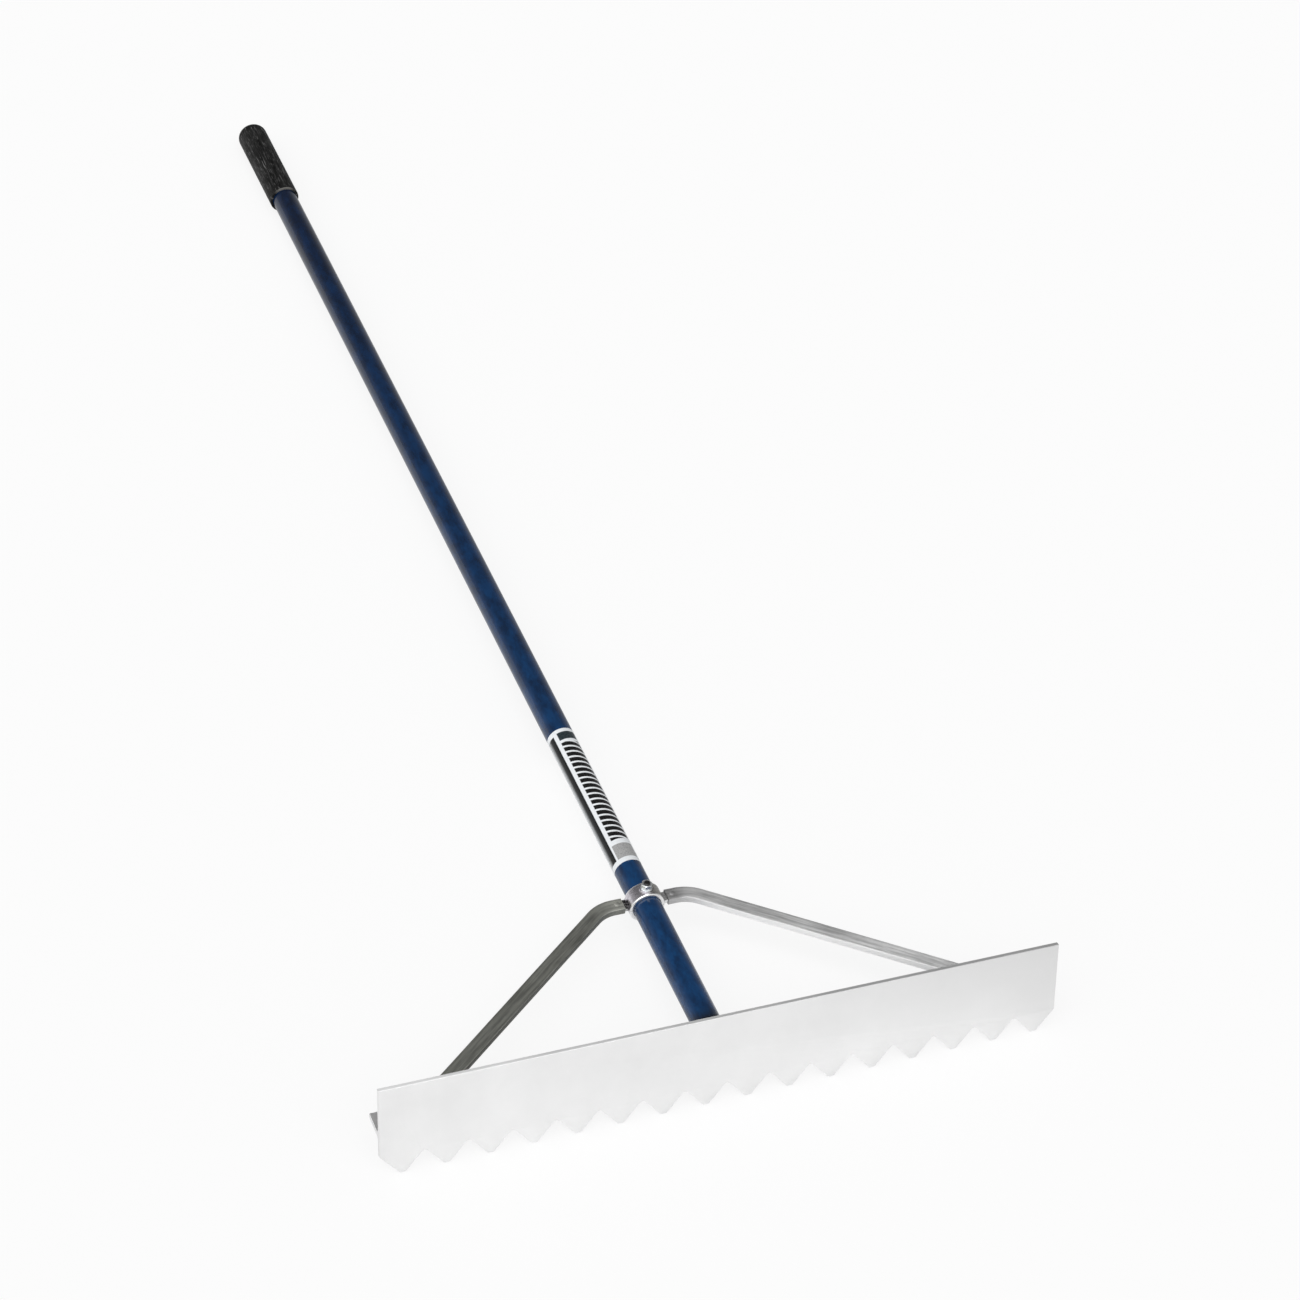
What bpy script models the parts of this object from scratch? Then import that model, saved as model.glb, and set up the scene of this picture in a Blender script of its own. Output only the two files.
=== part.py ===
"""Asphalt lute: a toothed aluminium head on a long tube handle, held square by two braces.

Metres, +Z up. The lute lies as it is laid down on the ground, on the tips of its teeth and on
the end of its grip. The world origin is on the ground, under the middle of the whole tool.

Two empties carry the pieces. In handle_frame, X runs along the blade, Y up the handle from the
blade's front face, and Z is square to both; the handle's axis is the line where X and Z are
nothing, and a place along it is called a station. In head_frame the blade stands upright, with
Y towards the handle and Z up from the tips of the teeth.
"""
from math import acos, asin, atan2, cos, hypot, pi, radians, sin, sqrt, tan

import bmesh
import bpy
from mathutils import Vector

# Head, one aluminium section: a blade with teeth, and a flange along its back
HEAD_WIDTH = 0.9144
HEAD_HEIGHT = 0.127
BLADE_THICKNESS = 0.00635
TOOTH_COUNT = 16
TOOTH_DEPTH = 0.026
TIP_FLAT = 0.008
VALLEY_RADIUS = 0.004
FLANGE_THICKNESS = 0.00635
FLANGE_REACH = 0.0415
HEAD_EDGE_RADIUS = 0.001
ROOT_FILLET = 0.004

# Handle: its axis leaves the blade's front face at AXIS_HEIGHT above the tips
HANDLE_ANGLE = radians(13.6)
AXIS_HEIGHT = 0.053
TUBE_DIAMETER = 0.0381
TUBE_WALL = 0.00165
TUBE_END = 2.074

# Grip
GRIP_WALL = 0.00365
GRIP_LENGTH = 0.188
GRIP_CAP = 0.006
GRIP_END_RADIUS = 0.014
GRIP_MOUTH_RADIUS = 0.0012

# Foot casting: jaws that hold the flange, a collar, and a spigot inside the tube
FOOT_WIDTH = 0.064
FOOT_START = 0.0150
JAW_THICKNESS = 0.007
FOOT_BACK = 0.006
FOOT_CORNER = 0.007
FOOT_EDGE_RADIUS = 0.0015
FOOT_BOLT_SPREAD = 0.044
FOOT_BOLT_STATION = 0.0275
HUB_CONE_LENGTH = 0.014
HUB_POINT_RADIUS = 0.0065
COLLAR_LENGTH = 0.004
COLLAR_RISE = 0.00195
SPIGOT_LENGTH = 0.070
SPIGOT_CHAMFER = 0.0015
CROSS_BOLT_INSET = 0.020

# Clamp: two half straps round the tube
CLAMP_STATION = 0.294
STRAP_WIDTH = 0.024
STRAP_THICKNESS = 0.005
STRAP_SPLIT = 0.0006
STRAP_EDGE_RADIUS = 0.0008
PAD_MARGIN = 0.0015
PAD_RISE = 0.0009
TONGUE_LENGTH = 0.0185

# Braces, of flat tube
BRACE_WIDTH = 0.020
BRACE_THICKNESS = 0.010
BRACE_WALL = 0.002
BRACE_CORNER = 0.0016
BRACE_SETBACK = 0.006
BEND_MARGIN = 0.0005
BEND_RADIUS = 0.050
BRACE_BOLT_INSET = 0.0513
PRESSED_SLIT = 0.0005
PRESSED_WIDTH = 0.024
PRESSED_MARGIN = 0.009
PRESSING_LENGTH = 0.026
TAB_BOLT_STATION = 0.025
RIVET_INSET = 0.0082
RIVET_DIAMETER = 0.005
RIVET_HEAD = 0.0085
RIVET_HEAD_HEIGHT = 0.0009

# Fasteners
BOLT_DIAMETER = 0.008
BOLT_CLEARANCE = 0.0004
HEX_ACROSS = 1.625 * BOLT_DIAMETER
HEX_HEAD = 0.66 * BOLT_DIAMETER
NUT_HEIGHT = 0.81 * BOLT_DIAMETER
WASHER_DIAMETER = 2.0 * BOLT_DIAMETER
WASHER_THICKNESS = 0.0016
BOLT_STICKS_OUT = 0.002

# Clearances and facets
GAP = 0.0003
SLIDE = 0.0003
ROUND_STEPS = 48
SMALL_STEPS = 24
SHARP_ANGLE = radians(35)

# Sizes that follow from the ones above
TUBE_RADIUS = TUBE_DIAMETER / 2
TUBE_BORE = TUBE_RADIUS - TUBE_WALL
SLOT_END = FLANGE_REACH + GAP
COLLAR_END = SLOT_END + FOOT_BACK
TUBE_START = COLLAR_END + GAP
CROSS_BOLT_STATION = TUBE_START + CROSS_BOLT_INSET
COLLAR_DIAMETER = TUBE_DIAMETER + 2 * COLLAR_RISE
GRIP_END = TUBE_END + GAP + GRIP_CAP
GRIP_DIAMETER = TUBE_DIAMETER + 2 * (SLIDE + GRIP_WALL)
STRAP_INNER = TUBE_RADIUS + GAP
STRAP_OUTER = STRAP_INNER + STRAP_THICKNESS
PAD_HEIGHT = STRAP_OUTER + PAD_RISE
PAD_DIAMETER = WASHER_DIAMETER + 2 * PAD_MARGIN
BRACE_START = STRAP_OUTER + BRACE_SETBACK
BEND_START = STRAP_OUTER + TONGUE_LENGTH + BEND_MARGIN
BRACE_BOLT = HEAD_WIDTH / 2 - BRACE_BOLT_INSET
BEND_TO_BOLT = (BRACE_BOLT - BEND_START, TAB_BOLT_STATION - CLAMP_STATION + BEND_RADIUS)
BRACE_RUN = sqrt(BEND_TO_BOLT[0] ** 2 + BEND_TO_BOLT[1] ** 2 - BEND_RADIUS ** 2)
BRACE_ANGLE = atan2(*BEND_TO_BOLT) - atan2(BRACE_RUN, BEND_RADIUS)
RIVET_STATION = BRACE_START + RIVET_INSET
HOLE_RADIUS = BOLT_DIAMETER / 2 + BOLT_CLEARANCE
HEX_CORNER = HEX_ACROSS / 2 / cos(pi / 6)
TAB_THICKNESS = 2 * BRACE_WALL + PRESSED_SLIT
JAW_TOP = FLANGE_THICKNESS + GAP + JAW_THICKNESS
JAW_BOTTOM = -GAP - JAW_THICKNESS

PIECES = "asphalt_lute"
CUTTERS = "cutters"
HANDLE_FRAME = "handle_frame"
HEAD_FRAME = "head_frame"


# Scene and materials

def clear_scene():
    for item in list(bpy.data.objects):
        bpy.data.objects.remove(item, do_unlink=True)


def add_collections():
    for name in (PIECES, CUTTERS):
        bpy.context.scene.collection.children.link(bpy.data.collections.new(name))


def make_material(name, colour, roughness, metallic):
    made = bpy.data.materials.new(name)
    made.use_nodes = True
    shader = made.node_tree.nodes["Principled BSDF"]
    shader.inputs["Base Color"].default_value = (*colour, 1.0)
    shader.inputs["Roughness"].default_value = roughness
    shader.inputs["Metallic"].default_value = metallic
    return made


def make_materials():
    return {
        "aluminium": make_material("aluminium", (0.72, 0.73, 0.73), 0.42, 1.0),
        "casting": make_material("cast_aluminium", (0.55, 0.56, 0.56), 0.55, 1.0),
        "blue": make_material("blue_coat", (0.012, 0.045, 0.13), 0.35, 0.0),
        "steel": make_material("plated_steel", (0.45, 0.45, 0.43), 0.38, 1.0),
        "rubber": make_material("black_rubber", (0.03, 0.03, 0.03), 0.75, 0.0),
    }


# Objects

def add_object(name, data, group, frame=HANDLE_FRAME, location=(0, 0, 0), rotation=(0, 0, 0)):
    """An object in one of the collections, placed in one of the two frames."""
    item = bpy.data.objects.new(name, data)
    bpy.data.collections[group].objects.link(item)
    item.parent = bpy.data.objects[frame]
    item.location = location
    item.rotation_euler = rotation
    if group == CUTTERS:
        item.hide_render = True
        item.display_type = "WIRE"
    return item


def mesh_from(name, shape):
    """A mesh with its faces pointing out, from a bmesh that is used up."""
    mesh = bpy.data.meshes.new(name)
    bmesh.ops.recalc_face_normals(shape, faces=shape.faces)
    shape.to_mesh(mesh)
    shape.free()
    return mesh


def extrude_outlines(name, outlines, thickness, group, **place):
    """Flat outlines in X and Y, of which inner ones are holes, given a thickness along Z."""
    flat = bpy.data.curves.new(name, "CURVE")
    flat.dimensions = "2D"
    flat.fill_mode = "BOTH"
    flat.extrude = thickness / 2
    for outline in outlines:
        spline = flat.splines.new("POLY")
        spline.points.add(len(outline) - 1)
        for corner, (u, v) in zip(spline.points, outline):
            corner.co = (u, v, 0.0, 1.0)
        spline.use_cyclic_u = True
    guide = add_object(name + "_outline", flat, group, **place)
    bpy.context.view_layer.update()
    evaluated = guide.evaluated_get(bpy.context.evaluated_depsgraph_get())
    drawn = bpy.data.meshes.new_from_object(evaluated)
    shape = bmesh.new()
    shape.from_mesh(drawn)
    bpy.data.meshes.remove(drawn)
    bmesh.ops.remove_doubles(shape, verts=shape.verts, dist=0.00001)
    bmesh.ops.dissolve_limit(shape, angle_limit=radians(0.5), verts=shape.verts, edges=shape.edges)
    solid = add_object(name, mesh_from(name, shape), group, **place)
    solid.matrix_world = guide.matrix_world
    bpy.data.objects.remove(guide, do_unlink=True)
    bpy.data.curves.remove(flat)
    return solid


def turn_profile(name, profile, group, steps=ROUND_STEPS):
    """A piece turned about the handle's axis, from (radius, station) points down its outer side."""
    line = bmesh.new()
    corners = [line.verts.new((radius, 0.0, station)) for radius, station in profile]
    pairs = list(zip(corners, corners[1:]))
    if profile[0][0] > 0:
        pairs.append((corners[-1], corners[0]))
    for pair in pairs:
        line.edges.new(pair)
    mesh = bpy.data.meshes.new(name)
    line.to_mesh(mesh)
    line.free()
    item = add_object(name, mesh, group, rotation=(-pi / 2, 0, 0))
    spin = item.modifiers.new("Turn", "SCREW")
    spin.steps = steps
    spin.render_steps = steps
    spin.use_merge_vertices = True
    spin.merge_threshold = 0.00001
    return item


def bar_between(name, radius, start, end, group, steps=SMALL_STEPS):
    """A round bar between two points of the handle's frame."""
    start, end = Vector(start), Vector(end)
    shape = bmesh.new()
    bmesh.ops.create_cone(shape, cap_ends=True, segments=steps, radius1=radius, radius2=radius,
                          depth=(end - start).length)
    turn = Vector((0, 0, 1)).rotation_difference(end - start).to_euler()
    return add_object(name, mesh_from(name, shape), group, location=(start + end) / 2, rotation=turn)


def block_between(name, low, high, group):
    """A box between its two far corners, in the handle's frame."""
    low, high = Vector(low), Vector(high)
    shape = bmesh.new()
    bmesh.ops.create_cube(shape, size=1.0)
    bmesh.ops.scale(shape, vec=high - low, verts=shape.verts)
    return add_object(name, mesh_from(name, shape), group, location=(low + high) / 2)


def combine(item, other, operation):
    step = item.modifiers.new(operation.title(), "BOOLEAN")
    step.operation = operation
    step.object = other


def drill(item, start, end, radius=HOLE_RADIUS):
    """A straight hole through a piece, between two points of the handle's frame."""
    name = item.name + "_hole_" + str(len(item.modifiers))
    combine(item, bar_between(name, radius, start, end, CUTTERS), "DIFFERENCE")


def round_edges(item, width, segments=2):
    bevel = item.modifiers.new("Rounded edges", "BEVEL")
    bevel.width = width
    bevel.segments = segments
    bevel.limit_method = "ANGLE"
    bevel.angle_limit = radians(40)


def finish(item, surface):
    item.data.materials.append(surface)
    return item


def shade_pieces():
    """Give each piece the mesh that its modifiers make, smooth on round faces and sharp at corners."""
    bpy.context.view_layer.update()
    depsgraph = bpy.context.evaluated_depsgraph_get()
    pieces = [item for item in bpy.data.collections[PIECES].objects if item.type == "MESH"]
    made = [bpy.data.meshes.new_from_object(item.evaluated_get(depsgraph)) for item in pieces]
    for item, mesh in zip(pieces, made):
        item.modifiers.clear()
        item.data = mesh
        mesh.name = item.name
        mesh.shade_smooth()
        mesh.set_sharp_from_angle(angle=SHARP_ANGLE)


# Outlines

def arc(centre, radius, start, end, steps):
    """Points on an arc from one angle to another, both ends included."""
    angles = [start + (end - start) * step / steps for step in range(steps + 1)]
    return [(centre[0] + radius * cos(angle), centre[1] + radius * sin(angle)) for angle in angles]


def circle(radius, steps=SMALL_STEPS):
    return arc((0, 0), radius, 0, 2 * pi, steps)[:-1]


def rounded_corner(before, corner, after, radius, steps=4):
    """The arc that rounds a corner of an outline, whichever way the corner turns."""
    before, corner, after = Vector(before), Vector(corner), Vector(after)
    to_before = (before - corner).normalized()
    to_after = (after - corner).normalized()
    half = acos(max(-1.0, min(1.0, to_before.dot(to_after)))) / 2
    centre = corner + (to_before + to_after).normalized() * radius / sin(half)
    first = corner + to_before * radius / tan(half) - centre
    last = corner + to_after * radius / tan(half) - centre
    start = atan2(first.y, first.x)
    turn = (atan2(last.y, last.x) - start + pi) % (2 * pi) - pi
    return arc(centre, radius, start, start + turn, steps)


def rounded_outline(corners):
    """An outline from (u, v, radius) corners, where a radius of nothing keeps one sharp."""
    points = []
    for index, (u, v, radius) in enumerate(corners):
        before = corners[index - 1][:2]
        after = corners[(index + 1) % len(corners)][:2]
        points += rounded_corner(before, (u, v), after, radius) if radius else [(u, v)]
    return points


# Head

def head_section():
    """The blade and its flange in cross-section, as (Y, Z) in the head's frame."""
    along = Vector((cos(HANDLE_ANGLE), sin(HANDLE_ANGLE)))
    across = Vector((-sin(HANDLE_ANGLE), cos(HANDLE_ANGLE)))
    under_root = Vector((BLADE_THICKNESS, AXIS_HEIGHT + BLADE_THICKNESS * tan(HANDLE_ANGLE)))
    top_root = under_root + Vector((0.0, FLANGE_THICKNESS / cos(HANDLE_ANGLE)))
    under_edge = Vector((0.0, AXIS_HEIGHT)) + along * FLANGE_REACH
    top_edge = under_edge + across * FLANGE_THICKNESS
    return rounded_outline([
        (0.0, 0.0, 0.0),
        (BLADE_THICKNESS, 0.0, 0.0),
        (*under_root, ROOT_FILLET),
        (*under_edge, HEAD_EDGE_RADIUS),
        (*top_edge, HEAD_EDGE_RADIUS),
        (*top_root, ROOT_FILLET),
        (BLADE_THICKNESS, HEAD_HEIGHT, HEAD_EDGE_RADIUS),
        (0.0, HEAD_HEIGHT, HEAD_EDGE_RADIUS),
    ])


def notch_outlines():
    """The gaps between the teeth, as (X, Z) in the head's frame, with half a gap at each end."""
    pitch = HEAD_WIDTH / TOOTH_COUNT
    half_mouth = (pitch - TIP_FLAT) / 2
    arc_height = TOOTH_DEPTH - VALLEY_RADIUS
    lean = acos(VALLEY_RADIUS / hypot(half_mouth, arc_height)) - atan2(arc_height, half_mouth)
    over = TOOTH_DEPTH / 2
    foot = half_mouth + over * tan(lean)
    peak = (half_mouth + over) / tan(lean)
    outlines = []
    for index in range(1, TOOTH_COUNT):
        centre = -HEAD_WIDTH / 2 + pitch * index
        valley = arc((centre, arc_height), VALLEY_RADIUS, lean, pi - lean, 6)
        outlines.append([(centre - foot, -over), (centre + foot, -over)] + valley)
    for side in (-1, 1):
        end = side * HEAD_WIDTH / 2
        outlines.append([(end - side * foot, -over), (end + side * over, -over), (end + side * over, peak)])
    return outlines


def make_head(surface):
    head = extrude_outlines("lute_head", [head_section()], HEAD_WIDTH, PIECES, frame=HEAD_FRAME,
                            rotation=(pi / 2, 0, pi / 2))
    notches = extrude_outlines("tooth_notches", notch_outlines(), 4 * BLADE_THICKNESS, CUTTERS,
                               frame=HEAD_FRAME, rotation=(pi / 2, 0, 0))
    combine(head, notches, "DIFFERENCE")
    return finish(head, surface)


# Handle and grip

def make_tube(surface):
    tube = turn_profile("handle_tube", [
        (TUBE_RADIUS, TUBE_END), (TUBE_RADIUS, TUBE_START), (TUBE_BORE, TUBE_START), (TUBE_BORE, TUBE_END),
    ], PIECES)
    return finish(tube, surface)


def make_grip(surface):
    """A sleeve that closes over the end of the tube."""
    outer = GRIP_DIAMETER / 2
    bore = TUBE_RADIUS + SLIDE
    mouth = GRIP_END - GRIP_LENGTH
    end_centre = (outer - GRIP_END_RADIUS, GRIP_END - GRIP_END_RADIUS)
    mouth_centre = (outer - GRIP_MOUTH_RADIUS, mouth + GRIP_MOUTH_RADIUS)
    profile = [(0.0, GRIP_END)]
    profile += arc(end_centre, GRIP_END_RADIUS, pi / 2, 0, 8)
    profile += arc(mouth_centre, GRIP_MOUTH_RADIUS, 0, -pi / 2, 3)
    profile += [(bore, mouth), (bore, TUBE_END + GAP), (0.0, TUBE_END + GAP)]
    return finish(turn_profile("grip", profile, PIECES), surface)


# Foot casting

def make_foot(surface):
    """Jaws that hold the flange, joined by a turned hub to a spigot inside the tube."""
    half = FOOT_WIDTH / 2
    collar_start = COLLAR_END - COLLAR_LENGTH
    back = COLLAR_END - COLLAR_LENGTH / 2
    shoulder = SLOT_END - FOOT_CORNER
    waist = COLLAR_DIAMETER / 2 - FOOT_EDGE_RADIUS
    plan = rounded_outline([
        (-half, FOOT_START, FOOT_CORNER), (half, FOOT_START, FOOT_CORNER), (half, shoulder, FOOT_CORNER),
        (waist, back, 0.0), (-waist, back, 0.0), (-half, shoulder, FOOT_CORNER),
    ])
    foot = extrude_outlines("handle_foot", [plan], JAW_TOP - JAW_BOTTOM, PIECES,
                            location=(0, 0, (JAW_TOP + JAW_BOTTOM) / 2))
    round_edges(foot, FOOT_EDGE_RADIUS)
    spigot = TUBE_BORE - SLIDE
    spigot_end = COLLAR_END + SPIGOT_LENGTH
    hub = turn_profile("foot_hub", [
        (0.0, spigot_end), (spigot - SPIGOT_CHAMFER, spigot_end), (spigot, spigot_end - SPIGOT_CHAMFER),
        (spigot, COLLAR_END), (COLLAR_DIAMETER / 2, COLLAR_END), (COLLAR_DIAMETER / 2, collar_start),
        (HUB_POINT_RADIUS, collar_start - HUB_CONE_LENGTH), (0.0, collar_start - HUB_CONE_LENGTH),
    ], CUTTERS)
    combine(foot, hub, "UNION")
    slot = block_between("foot_slot", (-FOOT_WIDTH, 0.0, -GAP),
                         (FOOT_WIDTH, SLOT_END, FLANGE_THICKNESS + GAP), CUTTERS)
    combine(foot, slot, "DIFFERENCE")
    return finish(foot, surface)


# Clamp

def half_ring(side):
    """Half of the ring round the tube as (X, Z): side is 1 for the upper half, -1 for the lower."""
    outer_lean = asin(STRAP_SPLIT / 2 / STRAP_OUTER)
    inner_lean = asin(STRAP_SPLIT / 2 / STRAP_INNER)
    outer = arc((0, 0), STRAP_OUTER, outer_lean, pi - outer_lean, ROUND_STEPS // 2)
    inner = arc((0, 0), STRAP_INNER, pi - inner_lean, inner_lean, ROUND_STEPS // 2)
    return [(x, side * z) for x, z in outer + inner]


def make_strap(name, side):
    """One half of the clamp, with the flat pad that its bolt bears on."""
    strap = extrude_outlines(name, [half_ring(side)], STRAP_WIDTH, PIECES,
                             location=(0, CLAMP_STATION, 0), rotation=(pi / 2, 0, 0))
    round_edges(strap, STRAP_EDGE_RADIUS)
    pad = bar_between(name + "_pad", PAD_DIAMETER / 2, (0, CLAMP_STATION, side * (STRAP_INNER + 2 * GAP)),
                      (0, CLAMP_STATION, side * PAD_HEIGHT), CUTTERS)
    combine(strap, pad, "UNION")
    drill(strap, (0, CLAMP_STATION, 0), (0, CLAMP_STATION, side * (PAD_HEIGHT + STRAP_THICKNESS)))
    return strap


def add_tongue(strap, side):
    """A tongue on the side of the lower strap, which the brace slips over."""
    half_width = BRACE_WIDTH / 2 - BRACE_WALL - SLIDE
    half_thickness = BRACE_THICKNESS / 2 - BRACE_WALL - SLIDE
    start = STRAP_OUTER + GAP
    sides = sorted((side * start, side * (STRAP_OUTER + TONGUE_LENGTH)))
    tongue = block_between("tongue", (sides[0], CLAMP_STATION - half_width, -half_thickness),
                           (sides[1], CLAMP_STATION + half_width, half_thickness), CUTTERS)
    sides = sorted((side * (STRAP_OUTER - STRAP_THICKNESS / 2), side * (start + GAP)))
    root = block_between("tongue_root", (sides[0], CLAMP_STATION - half_width, -half_thickness),
                         (sides[1], CLAMP_STATION + half_width, -STRAP_SPLIT / 2), CUTTERS)
    combine(root, tongue, "UNION")
    combine(strap, root, "UNION")


def make_clamp(surface):
    upper = make_strap("clamp_strap_upper", 1)
    lower = make_strap("clamp_strap_lower", -1)
    for side in (-1, 1):
        add_tongue(lower, side)
        drill_rivet_hole(lower, side)
    return finish(upper, surface), finish(lower, surface)


# Braces

def brace_path(distance, side):
    """A point on a brace's middle line and the way it runs there, in X and Y."""
    first = BEND_START - BRACE_START
    turn = max(0.0, min(BRACE_ANGLE, (distance - first) / BEND_RADIUS))
    rest = max(0.0, distance - first - BEND_RADIUS * BRACE_ANGLE)
    x = BRACE_START + min(distance, first) + BEND_RADIUS * sin(turn) + rest * cos(turn)
    y = CLAMP_STATION - BEND_RADIUS * (1 - cos(turn)) - rest * sin(turn)
    return Vector((side * x, y)), Vector((side * cos(turn), -sin(turn)))


def brace_marks():
    """Distances along a brace: the bend's two ends, the pressing's two ends and the bolt."""
    bend_start = BEND_START - BRACE_START
    bend_end = bend_start + BEND_RADIUS * BRACE_ANGLE
    bolt = bend_end + BRACE_RUN
    pressed = bolt - (FLANGE_REACH - TAB_BOLT_STATION + PRESSED_MARGIN) / sin(BRACE_ANGLE)
    return bend_start, bend_end, pressed - PRESSING_LENGTH, pressed, bolt


def brace_section(distance, inset):
    """Half width, half thickness and middle height of a brace, drawn in by an inset."""
    press_start, bolt = brace_marks()[2], brace_marks()[4]
    part = max(0.0, min(1.0, (distance - press_start) / PRESSING_LENGTH))
    part = part * part * (3 - 2 * part)
    width = BRACE_WIDTH + (PRESSED_WIDTH - BRACE_WIDTH) * part
    thickness = BRACE_THICKNESS + (TAB_THICKNESS - BRACE_THICKNESS) * part
    if distance > bolt:
        width = min(width, 2 * sqrt((PRESSED_WIDTH / 2) ** 2 - (distance - bolt) ** 2))
    return width / 2 - inset, thickness / 2 - inset, -(GAP + TAB_THICKNESS / 2) * part


def brace_ring(distance, side, inset):
    """A rounded rectangle across the brace, as points of the handle's frame."""
    middle, direction = brace_path(distance, side)
    across = Vector((-direction.y, direction.x))
    half_width, half_thickness, height = brace_section(distance, inset)
    corner = min(BRACE_CORNER - inset / 2, half_width - GAP, half_thickness - GAP)
    ring = []
    for quarter, (u, v) in enumerate(((1, 1), (-1, 1), (-1, -1), (1, -1))):
        centre = (u * (half_width - corner), v * (half_thickness - corner))
        start = quarter * pi / 2
        for sideways, up in arc(centre, corner, start, start + pi / 2, 3):
            ring.append((*(middle + across * sideways), height + up))
    return ring


def loft(name, rings, group):
    """A closed skin over rings that all have as many points."""
    shape = bmesh.new()
    loops = [[shape.verts.new(point) for point in ring] for ring in rings]
    shape.faces.new(loops[0])
    shape.faces.new(loops[-1])
    for near, far in zip(loops, loops[1:]):
        for index in range(len(near)):
            after = (index + 1) % len(near)
            shape.faces.new((near[index], near[after], far[after], far[index]))
    return add_object(name, mesh_from(name, shape), group)


def spaced(start, end, steps):
    return [start + (end - start) * step / steps for step in range(steps + 1)]


def make_brace(name, side, surface):
    """A flat tube, bent edgewise and pressed flat where it meets the flange."""
    bend_start, bend_end, press_start, pressed, bolt = brace_marks()
    tip = [bolt + 0.995 * PRESSED_WIDTH / 2 * sin(angle) for angle in spaced(0.0, pi / 2, 6)]
    bend = spaced(bend_start, bend_end, 10)
    outside = [0.0] + bend + spaced(press_start, pressed, 6) + tip
    inside = [-BRACE_WALL] + bend + [press_start]
    brace = loft(name, [brace_ring(distance, side, 0.0) for distance in outside], PIECES)
    bore = loft(name + "_bore", [brace_ring(distance, side, BRACE_WALL) for distance in inside], CUTTERS)
    combine(brace, bore, "DIFFERENCE")
    drill_rivet_hole(brace, side)
    return finish(brace, surface)


def drill_rivet_hole(item, side):
    place = side * RIVET_STATION
    drill(item, (place, CLAMP_STATION, -BRACE_THICKNESS), (place, CLAMP_STATION, BRACE_THICKNESS),
          RIVET_DIAMETER / 2 + GAP)


def make_rivet(name, side, surface):
    """A rivet through the brace and the clamp's tongue, with a low head on both faces."""
    place = side * RIVET_STATION
    seat = BRACE_THICKNESS / 2 + GAP
    inside = seat + RIVET_HEAD_HEIGHT / 2
    rivet = bar_between(name, RIVET_DIAMETER / 2, (place, CLAMP_STATION, -inside),
                        (place, CLAMP_STATION, inside), PIECES)
    for end in (-1, 1):
        head = bar_between(name + "_head", RIVET_HEAD / 2, (place, CLAMP_STATION, end * seat),
                           (place, CLAMP_STATION, end * (seat + RIVET_HEAD_HEIGHT)), CUTTERS)
        combine(rivet, head, "UNION")
    return finish(rivet, surface)


# Fasteners

def flat_ring(name, outline, seat, direction, thickness, surface):
    """A nut or a washer: an outline with a bolt hole, lying on its seat."""
    direction = Vector(direction)
    turn = Vector((0, 0, 1)).rotation_difference(direction).to_euler()
    ring = extrude_outlines(name, [outline, circle(HOLE_RADIUS)], thickness, PIECES,
                            location=Vector(seat) + direction * thickness / 2, rotation=turn)
    return finish(ring, surface)


def make_bolt(name, seat, direction, length, surface):
    """A hex bolt whose head bears on the seat and whose shank runs along the direction."""
    seat, direction = Vector(seat), Vector(direction)
    turn = Vector((0, 0, 1)).rotation_difference(direction).to_euler()
    bolt = extrude_outlines(name, [circle(HEX_CORNER, 6)], HEX_HEAD, PIECES,
                            location=seat - direction * HEX_HEAD / 2, rotation=turn)
    shank = bar_between(name + "_shank", BOLT_DIAMETER / 2, seat - direction * HEX_HEAD / 2,
                        seat + direction * length, CUTTERS)
    combine(bolt, shank, "UNION")
    return finish(bolt, surface)


def bolt_through(name, head_face, nut_face, washers, surface):
    """A bolt with its nut and washers, through what lies between two faces."""
    direction = (Vector(nut_face) - Vector(head_face)).normalized()
    head_seat = Vector(head_face) - direction * GAP
    nut_seat = Vector(nut_face) + direction * GAP
    if "head" in washers:
        flat_ring(name + "_head_washer", circle(WASHER_DIAMETER / 2), head_seat, -direction,
                  WASHER_THICKNESS, surface)
        head_seat -= direction * (WASHER_THICKNESS + GAP)
    if "nut" in washers:
        flat_ring(name + "_nut_washer", circle(WASHER_DIAMETER / 2), nut_seat, direction,
                  WASHER_THICKNESS, surface)
        nut_seat += direction * (WASHER_THICKNESS + GAP)
    flat_ring(name + "_nut", circle(HEX_CORNER, 6), nut_seat, direction, NUT_HEIGHT, surface)
    length = (nut_seat - head_seat).length + NUT_HEIGHT + BOLT_STICKS_OUT
    make_bolt(name + "_bolt", head_seat, direction, length, surface)


# How the lute lies

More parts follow.
